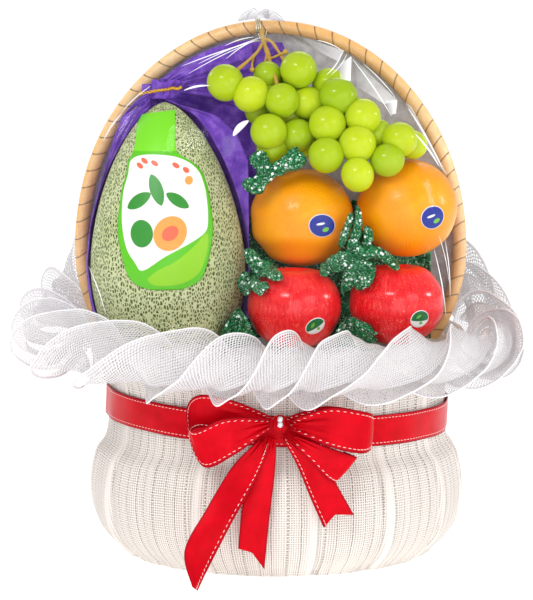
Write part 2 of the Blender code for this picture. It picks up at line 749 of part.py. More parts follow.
def make_cloth(collection):
    """Cloth round the back of the melon, drawn together above it, with its tie and its fan."""
    last = len(CLOTH_EDGES) - 1

    def wrap(u, v):
        height, left, right = [value * MM for value in CLOTH_EDGES[round(v * last)]]
        ring = melon_ring(min(height - MELON_CENTRE.z, MELON_TOP)) + CLOTH_CLEAR
        ring += CLOTH_LOOSER[2] * smoothstep((height - CLOTH_LOOSER[0]) / CLOTH_LOOSER[1])
        gathered = smoothstep((height - CLOTH_GATHER[0]) / CLOTH_GATHER[1])
        radius_x = ring + (NECK_RADII[0] - ring) * gathered
        radius_y = ring + (NECK_RADII[1] - ring) * gathered
        x = MELON_CENTRE.x + (NECK_CENTRE.x - MELON_CENTRE.x) * gathered
        y = MELON_CENTRE.y + (NECK_CENTRE.y - MELON_CENTRE.y) * gathered
        round_back = (u - CLOTH_EDGE_SHARE) / (1 - 2 * CLOTH_EDGE_SHARE)
        angle = math.pi * (1 - min(max(round_back, 0.0), 1.0))
        point = Vector((x + radius_x * math.cos(angle), y + radius_y * math.sin(angle), height))
        beyond = max(0.0, abs(u - 0.5) - 0.5 + CLOTH_EDGE_SHARE) / CLOTH_EDGE_SHARE
        side = -1 if u < 0.5 else 1
        edge = Vector((left if side < 0 else right, y - CLOTH_EDGE_FORWARD, height))
        closed = Vector((x + side * radius_x * math.cos(CLOTH_LAP),
                         y - radius_y * math.sin(CLOTH_LAP), height))
        return point.lerp(edge.lerp(closed, gathered), beyond)

    sheet("cloth_wrap", 14, last, wrap, CLOTH_THICKNESS, "cloth", collection)

    def fan(u, v):
        angle = FAN_ANGLES[1] + (FAN_ANGLES[0] - FAN_ANGLES[1]) * u
        reach = fan_reach(angle)
        radius = FAN_INNER + (reach - FAN_INNER) * v
        fold = FAN_FOLD * math.sin(u * 2 * math.tau) * smoothstep(v * 2)
        depth = FAN_CENTRE.y + FAN_BACK * smoothstep(v * 1.4) + fold
        return Vector((FAN_CENTRE.x + radius * math.cos(angle), depth,
                       FAN_CENTRE.z + radius * math.sin(angle)))

    sheet("cloth_fan", 14, 4, fan, CLOTH_THICKNESS, "cloth", collection)
    ring = [NECK_CENTRE + Vector(((NECK_RADII[0] + CLOTH_TIE_CLEAR) * math.cos(turn),
                                  (NECK_RADII[1] + CLOTH_TIE_CLEAR) * math.sin(turn),
                                  CLOTH_TIE_LEAN * math.cos(turn)))
            for turn in full_turn(CLOTH_TIE_STEPS)]
    closed_tube("cloth_tie", ring, CLOTH_TIE_WIRE, "wire", collection)


def fan_reach(angle):
    """Distance from the fan's centre to just inside the hoop, in one direction."""
    reach = FAN_INNER
    while reach < FAN_REACH:
        reach += MM
        x = FAN_CENTRE.x + reach * math.cos(angle)
        z = FAN_CENTRE.z + reach * math.sin(angle)
        if abs(x - HOOP_X) > hoop_half_width(z, HOOP_TUBE + FAN_HOOP_CLEAR) or x > FAN_RIGHT:
            break
    return reach


def make_lining(collection):
    """Lining sheet across the hoop, bowed back behind the fruit and standing on the bed."""
    foot = BED_HEIGHT + LINING_STAND
    top = hoop_top() - HOOP_TUBE - LINING_GAP - LINING_THICKNESS
    flat_from, flat_over = LINING_FLATTENS

    def place(u, v):
        height = foot + (top - foot) * math.sin(v * math.pi / 2)
        half = hoop_half_width(height, HOOP_TUBE + LINING_GAP)
        across = 2 * u - 1
        bow = (1 - across * across) * (1 - smoothstep((height - flat_from) / flat_over))
        return Vector((HOOP_X + across * half, HOOP_Y + LINING_BULGE * bow, height))

    return sheet("back_lining", 10, 8, place, LINING_THICKNESS, "lining", collection)


def film_depth(height):
    """How far the film stands in front of the basket's middle at a height."""
    if height < FILM_WIDEST:
        share = (FILM_WIDEST - height) / (FILM_WIDEST - FILM_FOOT)
        return FILM_BULGE + FILM_TUCK * share ** 1.5
    share = (height - FILM_WIDEST) / (FILM_TOP - FILM_WIDEST)
    return FILM_BULGE * (1 - min(share, 0.999) ** FILM_CROWN) ** (1 / FILM_CROWN)


def make_film(collection):
    """Clear film over the front: out from the hoop, down inside the garland, tuft on top."""
    def front(turn, share):
        height = FILM_FOOT + (TUFT_FOOT - 2 * FILM_GATHER - FILM_FOOT) * math.sin(share * math.pi / 2)
        half = max(hoop_half_width(height, -FILM_OVER_HOOP), TUFT_HALF_WIDTH + FILM_GATHER)
        round_foot, square_top = FILM_CORNERS
        squareness = smoothstep((height - FILM_FOOT) / FILM_CORNERS_OVER)
        power = 2 / (round_foot + (square_top - round_foot) * squareness)
        to_tuft = smoothstep((height - TUFT_SHIFTS[0]) / TUFT_SHIFTS[1])
        x = HOOP_X + (TUFT_X - HOOP_X) * to_tuft + half * signed_power(math.cos(turn), power)
        y = FILM_EDGE_Y - (film_depth(height) + FILM_EDGE_Y) * math.sin(turn) ** power
        return Vector((x, y, height))

    def tuft(u, share):
        spread = TUFT_HALF_WIDTH * (1 + TUFT_SPREAD * (1 - share))
        wave = (TUFT_DEPTH + TUFT_WAVE * math.sin(u * 2.5 * math.tau)) * math.sin(u * math.pi)
        rise = TUFT_RISE * math.cos(u * 2 * math.tau) * share
        return Vector((TUFT_X + spread * (2 * u - 1), FILM_EDGE_Y - MM - wave,
                       TUFT_FOOT + (TUFT_TOP - TUFT_FOOT) * share + rise))

    def place(u, v):
        if v < TUFT_FROM:
            return front(math.pi * (1 - u), v / TUFT_FROM)
        return tuft(u, (v - TUFT_FROM) / (1 - TUFT_FROM))

    return sheet("film", 14, 15, place, FILM_THICKNESS, "film", collection)


# Tulle

def fruit_front(x, z):
    """y of the foremost orange or apple at a point of the front view, or of the open gap."""
    front = TULLE_BED
    spheres = [(centre, ORANGE_RADIUS, 1.0) for centre in ORANGES.values()]
    spheres += [(centre, APPLE_RADIUS, APPLE_SQUASH) for centre in APPLES.values()]
    spheres.append((MELON_CENTRE, MELON_RADIUS, MELON_TOP / MELON_RADIUS))
    for centre, radius, stretch in spheres:
        inside = radius ** 2 - (x - centre.x) ** 2 - ((z - centre.z) / stretch) ** 2
        if inside > 0:
            front = min(front, centre.y - math.sqrt(inside))
    return front


def draped_front(x, z, margin):
    """Foremost fruit surface near a point, so that a piece laid there clears it."""
    ring = [(math.cos(turn) * margin, math.sin(turn) * margin)
            for turn in full_turn(8)]
    return min([fruit_front(x, z)] + [fruit_front(x + dx, z + dz) for dx, dz in ring])


def make_tulle(collection):
    """Crinkled glitter tulle tucked between the fruit."""
    for name, (x, z, width, height, turn, clearance) in TULLE.items():
        roll = math.radians(turn)
        folds = max(2, round(width / TULLE_FOLD_SPACING))

        def place(u, v):
            across = (u - 0.5) * width
            along = (v - 0.5) * height
            across *= 1 - TULLE_PINCH * (1 - abs(2 * v - 1))
            px = (x + across * math.cos(roll) - along * math.sin(roll)) * MM
            pz = (z + across * math.sin(roll) + along * math.cos(roll)) * MM
            fold = TULLE_FOLD * (math.sin(u * folds * math.pi) - 1)
            py = draped_front(px, pz, TULLE_MARGIN) - clearance * MM + fold
            return Vector((px, py, pz))

        sheet("tulle_" + name, 2 * folds, 4, place, TULLE_THICKNESS, "tulle", collection)


def build():
    """Make every piece of the basket."""
    clear_scene()
    basket = new_collection("fruit_gift_basket")
    make_body(basket)
    hoop_tube("hoop", HOOP_TUBE, 0.0, basket)
    make_garland(basket)
    make_band(basket)
    make_bow(basket)
    melon_shape("melon", 0.0, basket)
    melon_label(basket)
    for side, centre in ORANGES.items():
        round_fruit("orange_" + side, centre, orange_surface, "orange", basket)
        make_sticker("orange_" + side, centre, orange_surface, "sticker_blue", basket)
    for side, centre in APPLES.items():
        round_fruit("apple_" + side, centre, apple_surface, "apple", basket)
        make_sticker("apple_" + side, centre, apple_surface, "sticker_green", basket)
    make_grapes(basket)
    make_stem(basket)
    make_cloth(basket)
    make_lining(basket)
    make_film(basket)
    make_tulle(basket)


build()
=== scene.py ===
"""Looks of a fruit gift basket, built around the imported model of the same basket.

Each sub-assembly is a class that holds its own sizes and builds its pieces: the pleated cloth basket,
the cane hoop, the mesh garland, the ribbon, the melon with its label and cloth, the other fruit, the
glitter tulle and the clear film. Lengths are in millimetres until a mesh is made, and then in metres.
The front faces -Y, and an angle round the basket or a fruit starts at the front and grows to the right.
"""
from __future__ import annotations

import logging
import math
from dataclasses import dataclass
from enum import Enum
from functools import partial
from typing import Callable, Mapping, Sequence

import bmesh
import bpy
import numpy as np
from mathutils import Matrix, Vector

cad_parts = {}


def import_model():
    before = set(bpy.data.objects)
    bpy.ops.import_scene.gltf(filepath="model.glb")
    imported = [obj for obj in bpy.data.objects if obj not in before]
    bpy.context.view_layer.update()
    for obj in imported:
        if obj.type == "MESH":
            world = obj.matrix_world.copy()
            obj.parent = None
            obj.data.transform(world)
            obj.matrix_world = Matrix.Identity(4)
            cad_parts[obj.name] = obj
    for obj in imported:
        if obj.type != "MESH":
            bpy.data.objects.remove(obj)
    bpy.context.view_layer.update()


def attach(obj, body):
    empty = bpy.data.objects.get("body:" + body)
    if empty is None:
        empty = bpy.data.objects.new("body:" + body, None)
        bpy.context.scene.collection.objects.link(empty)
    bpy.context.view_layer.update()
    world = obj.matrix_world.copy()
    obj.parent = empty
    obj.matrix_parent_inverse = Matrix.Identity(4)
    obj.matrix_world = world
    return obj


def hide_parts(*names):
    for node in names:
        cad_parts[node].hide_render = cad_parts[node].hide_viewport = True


LOG = logging.getLogger("basket")
MM = 0.001
PI = math.pi
TAU = math.tau
BODY = "root"
UV_NAME = "fabric"

Array = np.ndarray
Object = bpy.types.Object
Node = bpy.types.Node
Socket = bpy.types.NodeSocket
Add = Callable[..., Node]
Place = Callable[[Array, Array], Array]
Points = Sequence[Sequence[float]]
Triple = tuple[float, float, float]


class Edge(Enum):
    """How the two directions of a surface close on themselves."""

    OPEN = (False, False)
    TUBE = (True, False)
    BELT = (False, True)
    RING = (True, True)


# Numbers and curves


def ease(value: Array | float) -> Array:
    """Smooth step from 0 to 1 over the unit range."""
    value = np.clip(value, 0.0, 1.0)
    return value * value * (3 - 2 * value)


def bell(value: Array, centre: float, width: float) -> Array:
    """Bell curve around a centre."""
    return np.exp(-((value - centre) / width) ** 2)


def unit(vectors: Array) -> Array:
    """The same directions with length 1."""
    return vectors / np.maximum(np.linalg.norm(vectors, axis=-1, keepdims=True), 1e-12)


def stack(*columns: Array) -> Array:
    """Columns side by side as rows of points."""
    return np.stack(np.broadcast_arrays(*columns), axis=-1).astype(float)


def direction(angle: Array, polar: Array) -> Array:
    """Unit vectors from an angle round Z and an angle from its top."""
    return stack(np.sin(polar) * np.cos(angle), np.sin(polar) * np.sin(angle), np.cos(polar))


def round_axis(radius: Array, angle: Array, height: Array, lean: float = 0.0) -> Array:
    """Points round an upright axis, or one that leans to the right, by their angle from the front."""
    x, y = radius * np.sin(angle), -radius * np.cos(angle)
    return stack(x * math.cos(lean) + height * math.sin(lean), y,
                 height * math.cos(lean) - x * math.sin(lean))


def mix(first: Array | float, second: Array | float, share: Array | float) -> Array:
    """Values on the way from the first to the second."""
    return first + (second - first) * share


def columns_at(rows: Points, shares: Array) -> list[Array]:
    """Each column of a table at shares of its length."""
    table = np.array(rows)
    return [np.interp(shares * (len(table) - 1), np.arange(len(table)), column) for column in table.T]


def signed_power(value: Array, power: Array | float) -> Array:
    """A power of the size of each value, with the value's sign."""
    return np.sign(value) * np.abs(value) ** power


def smooth_line(points: Points, shares: Array) -> Array:
    """Points of a Catmull-Rom curve.

    Args:
        points: the points that the curve passes through.
        shares: places along the curve, from 0 to 1.

    Returns:
        One row for each share.
    """
    knots = np.asarray(points, float)
    last = len(knots) - 1
    place = np.clip(shares, 0, 1) * last
    index = np.minimum(place.astype(int), last - 1)
    part = (place - index)[:, None]
    before, start = knots[np.maximum(index - 1, 0)], knots[index]
    end, after = knots[index + 1], knots[np.minimum(index + 2, last)]
    return 0.5 * (2 * start + (end - before) * part
                  + (2 * before - 5 * start + 4 * end - after) * part ** 2
                  + (3 * start - before - 3 * end + after) * part ** 3)


def line_length(line: Array) -> float:
    """Length of a line of points."""
    return float(np.linalg.norm(np.diff(line, axis=0), axis=1).sum())


def even_line(points: Points, shares: Array) -> Array:
    """Points of a Catmull-Rom curve at even distances along it.

    Args:
        points: the points that the curve passes through.
        shares: shares of its whole length.

    Returns:
        One row for each share.
    """
    fine = smooth_line(points, np.linspace(0, 1, 40 * len(points)))
    along = np.concatenate([[0], np.cumsum(np.linalg.norm(np.diff(fine, axis=0), axis=1))])
    return np.stack([np.interp(shares * along[-1], along, axis) for axis in fine.T], axis=1)


def ripple(angle: Array, waves: Sequence[Triple]) -> Array:
    """Sum of sine waves, each given as how many in a turn, its start and its size."""
    return sum(size * np.sin(count * angle + start) for count, start, size in waves)


def random_waves(seed: int, counts: tuple[float, float], size: float, number: int = 6) -> list[Triple]:
    """Seeded waves for ripple.

    Args:
        seed: the seed.
        counts: fewest and most waves in a turn, whole numbers where the ripple closes on itself.
        size: rough size of their sum.
        number: how many waves.

    Returns:
        The waves.
    """
    draw = np.random.default_rng(seed)
    share = size / math.sqrt(number / 2)
    return [(round(draw.uniform(*counts)), draw.uniform(0, TAU), share * draw.uniform(0.5, 1.3))
            for _ in range(number)]


# Meshes


def link(name: str, mesh: bpy.types.Mesh) -> Object:
    """Put a mesh into the scene as a smooth object."""
    mesh.shade_smooth()
    obj = bpy.data.objects.new(name, mesh)
    bpy.context.scene.collection.objects.link(obj)
    return obj


def mark(mesh: bpy.types.Mesh, name: str, values: Array) -> None:
    """Store a number for each point, for the piece's material to read."""
    layer = mesh.attributes.new(name, "FLOAT", "POINT")
    layer.data.foreach_set("value", np.broadcast_to(values, len(mesh.vertices)).astype(np.float32))


def surface(name: str, columns: int, rows: int, place: Place, edge: Edge = Edge.OPEN,
            size: tuple[float, float] = (1.0, 1.0), weld: bool = False,
            marks: Mapping[str, Place] | None = None) -> Object:
    """Make a surface of quads from a function of two shares.

    Args:
        name: the piece's name.
        columns: faces along the first share.
        rows: faces along the second share.
        place: gives points in millimetres for arrays of both shares.
        edge: which directions close.
        size: real width and length in millimetres, for the texture coordinates.
        weld: whether points that meet are joined, as at a pole.
        marks: numbers for each point, each by name as a function of both shares.

    Returns:
        The new object.
    """
    ring, loop = edge.value
    across, along = columns + (not ring), rows + (not loop)
    u, v = [share.ravel() for share in np.meshgrid(np.arange(across) / columns, np.arange(along) / rows)]
    column, row = [index.ravel() for index in np.meshgrid(np.arange(columns), np.arange(rows))]
    corners = ((0, 0), (1, 0), (1, 1), (0, 1))
    faces = np.stack([((row + down) % along) * across + (column + right) % across
                      for right, down in corners], axis=1)
    mesh = bpy.data.meshes.new(name)
    mesh.from_pydata((place(u, v) * MM).tolist(), [], faces.tolist())
    uv = np.stack([stack((column + right) / columns * size[0], (row + down) / rows * size[1])
                   for right, down in corners], axis=1) * MM
    mesh.uv_layers.new(name=UV_NAME).data.foreach_set("uv", uv.ravel().astype(np.float32))
    for key, value in (marks or {}).items():
        mark(mesh, key, value(u, v))
    if weld:
        change_mesh(mesh, lambda shape: bmesh.ops.remove_doubles(shape, verts=shape.verts, dist=0.01 * MM))
    return link(name, mesh)


def change_mesh(mesh: bpy.types.Mesh, change: Callable[[bmesh.types.BMesh], object]) -> None:
    """Change a mesh by a function that works on its bmesh."""
    shape = bmesh.new()
    shape.from_mesh(mesh)
    change(shape)
    shape.to_mesh(mesh)
    shape.free()


def line_frame(path: Array, closed: bool) -> tuple[Array, Array]:
    """Two directions across a line at each of its points, without twist along it."""
    tangent = unit(np.roll(path, -1, 0) - np.roll(path, 1, 0) if closed else np.gradient(path, axis=0))
    side = np.zeros_like(path)
    start = np.cross(tangent[0], (0.0, 0.31, 0.95))
    for index, forward in enumerate(tangent):
        start = unit(start - forward * np.dot(start, forward))
        side[index] = start
    return side, np.cross(tangent, side)


def pipe(name: str, path: Array, radius: Array | float, sides: int = 10, closed: bool = False) -> Object:
    """Make a round tube with closed ends along a path.

    Args:
        name: the piece's name.
        path: points in millimetres.
        radius: one radius, or one for each point.
        sides: faces around it.
        closed: whether the path is a loop.

    Returns:
        The new object.
    """
    count = len(path)
    side, other = line_frame(path, closed)
    radii = np.broadcast_to(np.asarray(radius, float), (count,))
    rows = count if closed else count - 1

    def place(u: Array, v: Array) -> Array:
        index = np.rint(v * rows).astype(int) % count
        out = side[index] * np.cos(u * TAU)[:, None] + other[index] * np.sin(u * TAU)[:, None]
        return path[index] + out * radii[index][:, None]

    def close(shape: bmesh.types.BMesh) -> None:
        bmesh.ops.holes_fill(shape, edges=[item for item in shape.edges if item.is_boundary])
        bmesh.ops.recalc_face_normals(shape, faces=shape.faces)

    obj = surface(name, sides, rows, place, Edge.RING if closed else Edge.TUBE,
                  (TAU * float(radii.mean()), line_length(path)))
    if not closed:
        change_mesh(obj.data, close)
        obj.data.shade_smooth()
    return obj


def join(name: str, pieces: Sequence[Object]) -> Object:
    """Join several objects into the first of them under a new name."""
    first = pieces[0]
    if len(pieces) > 1:
        with bpy.context.temp_override(active_object=first, object=first,
                                       selected_editable_objects=list(pieces)):
            bpy.ops.object.join()
    first.name = name
    return first


def many(name: str, template: tuple[Array, list[list[int]]], frames: Array, places: Array,
         tints: Array | None = None) -> Object:
    """Make one mesh of many copies of a small shape.

    Args:
        name: the piece's name.
        template: the small shape's points, in millimetres, and faces.
        frames: for each copy three rows, the directions and sizes of the shape's own axes.
        places: for each copy its centre in millimetres.
        tints: for each copy a number that its material can read as tint.

    Returns:
        The new object.
    """
    points, faces = template
    count, size = len(places), len(points)
    moved = np.einsum("pi,nij->npj", points, frames) + places[:, None, :]
    mesh = bpy.data.meshes.new(name)
    mesh.from_pydata((moved.reshape(-1, 3) * MM).tolist(), [],
                     [[corner + copy * size for corner in face] for copy in range(count) for face in faces])
    if tints is not None:
        mark(mesh, "tint", np.repeat(tints, size))
    return link(name, mesh)


def ball(columns: int, rows: int) -> tuple[Array, list[list[int]]]:
    """Points and faces of a sphere of radius 1 with its poles on Z."""
    polar = np.repeat(np.arange(1, rows) / rows * PI, columns)
    angle = np.tile(np.arange(columns) / columns * TAU, rows - 1)
    ring = direction(angle, polar)
    faces = [[row * columns + column, (row + 1) * columns + column,
              (row + 1) * columns + (column + 1) % columns, row * columns + (column + 1) % columns]
             for row in range(rows - 2) for column in range(columns)]
    top, bottom, last = len(ring), len(ring) + 1, (rows - 2) * columns
    faces += [[top, column, (column + 1) % columns] for column in range(columns)]
    faces += [[bottom, last + (column + 1) % columns, last + column] for column in range(columns)]
    return np.vstack([ring, (0, 0, 1), (0, 0, -1)]), faces


def random_frames(seed: int, sizes: Array) -> Array:
    """Seeded turns of shapes with given sizes along their own axes, one row of sizes a shape."""
    draw = np.random.default_rng(seed)
    turns = np.linalg.qr(draw.normal(size=(len(sizes), 3, 3)))[0]
    return turns * sizes[:, :, None]


def thicken(obj: Object, thickness: float, offset: float = 0.0) -> Object:
    """Give a surface a thickness in millimetres."""
    solid = obj.modifiers.new("Thickness", "SOLIDIFY")
    solid.thickness = thickness * MM
    solid.offset = offset
    return obj


def dress(obj: Object, finish: "Finish", slot: str, *nodes: str) -> Object:
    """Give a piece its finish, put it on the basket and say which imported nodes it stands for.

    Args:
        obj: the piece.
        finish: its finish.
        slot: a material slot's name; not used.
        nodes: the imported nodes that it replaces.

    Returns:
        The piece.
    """
    obj.data.materials.clear()
    obj.data.materials.append(finish.material())
    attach(obj, BODY)
    if nodes:
        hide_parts(*nodes)
    LOG.info("%s: %d faces, stands for %s", obj.name, len(obj.data.polygons), ", ".join(nodes) or "-")
    return obj


# Materials


def colour(code: str) -> tuple[float, float, float, float]:
    """Linear colour of an sRGB hex value."""
    parts = [int(code[place:place + 2], 16) / 255 for place in (1, 3, 5)]
    linear = [part / 12.92 if part <= 0.04045 else ((part + 0.055) / 1.055) ** 2.4 for part in parts]
    return (*linear, 1.0)


def per_metre(size: float) -> float:
    """How many times a size in millimetres goes into a metre, the scale of a pattern."""
    return 1 / (size * MM)


def bands(spacing: float) -> float:
    """Scale of a wave texture whose bands are so many millimetres apart."""
    return TAU / 20 * per_metre(spacing)


def wire(node: Node, inputs: Mapping) -> None:
    """Set or link a node's inputs: hex text is a colour, and a node stands for its first output."""
    for key, value in inputs.items():
        if isinstance(value, Node):
            value = value.outputs[0]
        if isinstance(value, Socket):
            node.id_data.links.new(value, node.inputs[key])
        else:
            node.inputs[key].default_value = colour(value) if isinstance(value, str) else value


def add_node(tree: bpy.types.NodeTree, kind: str, *values: object,
             stops: Mapping[float, str] | None = None, **more: object) -> Node:
    """Add a node with its settings and links.

    Args:
        tree: the node tree, which a finish's paint gets already filled in.
        kind: the node's type, such as TexNoise, and after a space its operation.
        values: what its first inputs take, in their order.
        stops: a colour ramp's hex colours by their positions.
        more: what other inputs take, whose names have a capital, and the node's own settings.

    Returns:
        The new node.
    """
    kind, *operation = kind.split()
    node = tree.nodes.new("ShaderNode" + kind)
    if operation:
        node.operation = operation[0]
    inputs = dict(enumerate(values))
    for key, value in more.items():
        if key[0].isupper():
            inputs[key] = value
        else:
            setattr(node, key, value)
    if stops:
        elements = node.color_ramp.elements
        while len(elements) < len(stops):
            elements.new(0.5)
        for element, (position, code) in zip(elements, stops.items()):
            element.position = position
            element.color = colour(code)
    wire(node, inputs)
    return node


def wander(add: Add, flat: Node | Socket, length: float, reach: float, detail: float = 1.0) -> Node:
    """Texture coordinates that wander so far in millimetres, in waves of a length, as yarns do."""
    noise = add("TexNoise", flat, Scale=per_metre(length), Detail=detail)
    away = add("VectorMath SUBTRACT", noise.outputs["Color"], (0.5, 0.5, 0.5))
    return add("VectorMath MULTIPLY_ADD", away, (reach * MM,) * 3, flat)


@dataclass(frozen=True)
class Finish:
    """A finish: its name and the settings that all finishes share."""

    name: str
    base: str
    roughness: float = 0.5
    ior: float = 1.5
    metallic: float = 0.0

    def material(self) -> bpy.types.Material:
        """The Blender material, made on first use."""
        made = bpy.data.materials.get(self.name)
        if made is None:
            made = bpy.data.materials.new(self.name)
            made.use_nodes = True
            shader = made.node_tree.nodes["Principled BSDF"]
            wire(shader, {"Base Color": self.base, "Roughness": self.roughness, "IOR": self.ior,
                          "Metallic": self.metallic})
            self.paint(partial(add_node, made.node_tree), shader)
        return made

    def paint(self, add: Add, shader: Node) -> None:
        """Add fine unevenness of tone, which every real surface has."""
        place = add("TexCoord").outputs["Object"]
        noise = add("TexNoise", place, Scale=per_metre(2.5), Detail=3.0)
        wire(shader, {"Base Color": add("MixRGB", 0.12, self.base, noise, blend_type="OVERLAY")})


@dataclass(frozen=True)
class SlubLinen(Finish):
    """Cream cotton and linen gauze, woven open on slubby yarns, with drawn-thread ladders.

    Its threads are drawn about twice as far apart as real ones, or they wouldn't show.
    """

    # dark colours in the gaps: painted shade of the basket's inside, seen through the weave
    gap: str = "#83755a"
    ladder_gap: str = "#64563c"
    thread_pitch: float = 1.9
    ladder_spacing: float = 9.5
    ladder_width: float = 0.7
    ladder_pitch: float = 2.9
    slub_length: float = 14.0
    slub_reach: float = 1.1

    def paint(self, add: Add, shader: Node) -> None:
        """Small square gaps between the yarns, larger ones in the ladders, none in the dense folds; the
        gaps are painted in the shade of the basket's inside.
        """
        flat = add("UVMap", uv_map=UV_NAME)
        bent = wander(add, flat, self.slub_length, self.slub_reach, 3.0)
        yarns = [add("TexWave", bent, Scale=bands(self.thread_pitch), bands_direction=way) for way in "XY"]
        gaps = [add("MapRange", yarn.outputs["Fac"], 0.36, 0.74, interpolation_type="SMOOTHSTEP")
                for yarn in yarns]
        hole = add("Math MULTIPLY", *gaps)
        stretched = add("VectorMath MULTIPLY", flat, (1.0, 0.06, 0.0))
        loose = add("TexNoise", stretched, Scale=per_metre(5.0), Detail=2.0)
        looser = add("MapRange", loose, 0.38, 0.62, 0.55, 1.0)
        dense = add("Attribute", attribute_name="dense").outputs["Fac"]
        open_here = add("MapRange", dense, 0.2, 0.8, 1.0, 0.3)
        across = add("SeparateXYZ", bent)
        ladder = add("TexVoronoi", W=across.outputs["X"], Scale=per_metre(self.ladder_spacing),
                     Randomness=0.8, voronoi_dimensions="1D", feature="DISTANCE_TO_EDGE")
        reach = self.ladder_width / self.ladder_spacing / 2
        line = add("MapRange", ladder, reach * 0.5, reach * 1.3, 0.95, 0.0)
        rung = add("TexWave", bent, Scale=bands(self.ladder_pitch), bands_direction="Y")
        between = add("MapRange", rung.outputs["Fac"], 0.35, 0.6)
        ladder_hole = add("Math MULTIPLY", line, between)
        small = add("Math MULTIPLY", hole, looser)
        shown = add("Math MULTIPLY", small, open_here)
        ladder_shown = add("Math MULTIPLY", ladder_hole, open_here)
        fibre = add("TexNoise", flat, Scale=per_metre(0.9), Detail=2.0)
        tone = add("ValToRGB", fibre, stops={0.3: "#e3dbd4", 0.7: "#f2ece7"})
        # the gaps and ladders take their dark colours: painted shade
        first = add("MixRGB", shown, tone, self.gap)
        second = add("MixRGB", ladder_shown, first, self.ladder_gap)
        deepest = add("Math MAXIMUM", shown, ladder_shown)
        relief = add("Bump", Height=deepest, Distance=0.5 * MM, invert=True)
        wire(shader, {"Base Color": second, "Normal": relief, "Sheen Weight": 0.15})


@dataclass(frozen=True)
class OpenMesh(Finish):
    """White woven polypropylene mesh: stiff glossy threads with square gaps that are see-through."""

    pitch: float = 2.3
    thread_share: float = 0.44
    # painted shade on the threads' sides next to the gaps
    dim: str = "#d4d0d3"

    def paint(self, add: Add, shader: Node) -> None:
        """Threads both ways, closed along the woven edge, see-through in the gaps, with painted shade on
        the threads' sides next to the gaps.
        """
        bent = wander(add, add("UVMap", uv_map=UV_NAME), 9.0, 1.6)
        level = math.cos(PI * self.thread_share) * -0.5 + 0.5
        gaps = []
        for way in "XY":
            wave = add("TexWave", bent, Scale=bands(self.pitch), bands_direction=way)
            gaps.append(add("MapRange", wave.outputs["Fac"], level - 0.09, level + 0.09))
        hole = add("Math MULTIPLY", *gaps)
        sides = add("Math MAXIMUM", *gaps)
        # the threads darken towards the gaps: painted shade
        thread = add("MixRGB", sides, self.base, self.dim)
        hem = add("Attribute", attribute_name="hem").outputs["Fac"]
        kept = add("Math SUBTRACT", 1.0, hem)
        gap = add("Math MULTIPLY", hole, kept)
        solid = add("Math SUBTRACT", 1.0, gap)
        wire(shader, {"Base Color": thread, "Alpha": solid, "Specular IOR Level": 0.4})


@dataclass(frozen=True)
class PeeledCane(Finish):
    """Lacquered cane wound flat round a hoop: golden, streaked along the grain, dark at the joints."""

    grain_width: float = 0.9
    grain_length: float = 16.0

    def paint(self, add: Add, shader: Node) -> None:
        """Streaks, warm blotches, small dark specks and the joints between the windings."""
        flat = add("UVMap", uv_map=UV_NAME)
        grain_place = add("VectorMath MULTIPLY", flat, (1.0, self.grain_width / self.grain_length, 0.0))
        grain = add("TexNoise", grain_place, Scale=per_metre(self.grain_width), Detail=3.0)
        blotch = add("TexNoise", flat, Scale=per_metre(7.0), Detail=2.0)
        tone = add("Attribute", attribute_name="tone").outputs["Fac"]
        mixed = add("Math MULTIPLY_ADD", blotch, 0.5, tone)
        warm = add("ValToRGB", mixed, stops={0.1: "#e2a75e", 0.45: "#efbd79", 0.8: "#f8d8a2"})
        streaks = add("MixRGB", 0.28, warm, grain, blend_type="OVERLAY")
        speck = add("TexNoise", flat, Scale=per_metre(1.3), Detail=1.0)
        dots = add("MapRange", speck, 0.73, 0.8)
        dotted = add("MixRGB", dots, streaks, "#6b3d16")
        joint = add("Attribute", attribute_name="joint").outputs["Fac"]
        joined = add("MixRGB", joint, dotted, "#65401d")
        relief = add("Bump", Height=grain, Distance=0.15 * MM)
        wire(shader, {"Base Color": joined, "Normal": relief, "Coat Weight": 0.25,
                      "Coat Roughness": 0.25})


@dataclass(frozen=True)
class Satin(Finish):
    """Red polyester satin ribbon: long floats give a broad soft shine, the woven edge is duller."""

    rib: float = 0.7

    def paint(self, add: Add, shader: Node) -> None:
        """Fine ribs across the ribbon and a darker woven edge."""
        flat = add("UVMap", uv_map=UV_NAME)
        ribs = add("TexWave", flat, Scale=bands(self.rib), bands_direction="Y")
        cloud = add("TexNoise", flat, Scale=per_metre(12.0), Detail=2.0)
        tone = add("ValToRGB", cloud, stops={0.3: "#bd0011", 0.7: "#d00018"})
        hem = add("Attribute", attribute_name="hem").outputs["Fac"]
        edged = add("MixRGB", hem, tone, "#a00417")
        relief = add("Bump", Height=ribs.outputs["Fac"], Distance=0.03 * MM)
        wire(shader, {"Base Color": edged, "Normal": relief, "Specular IOR Level": 0.05,
                      "Coat Weight": 0.08, "Coat Roughness": 0.3})


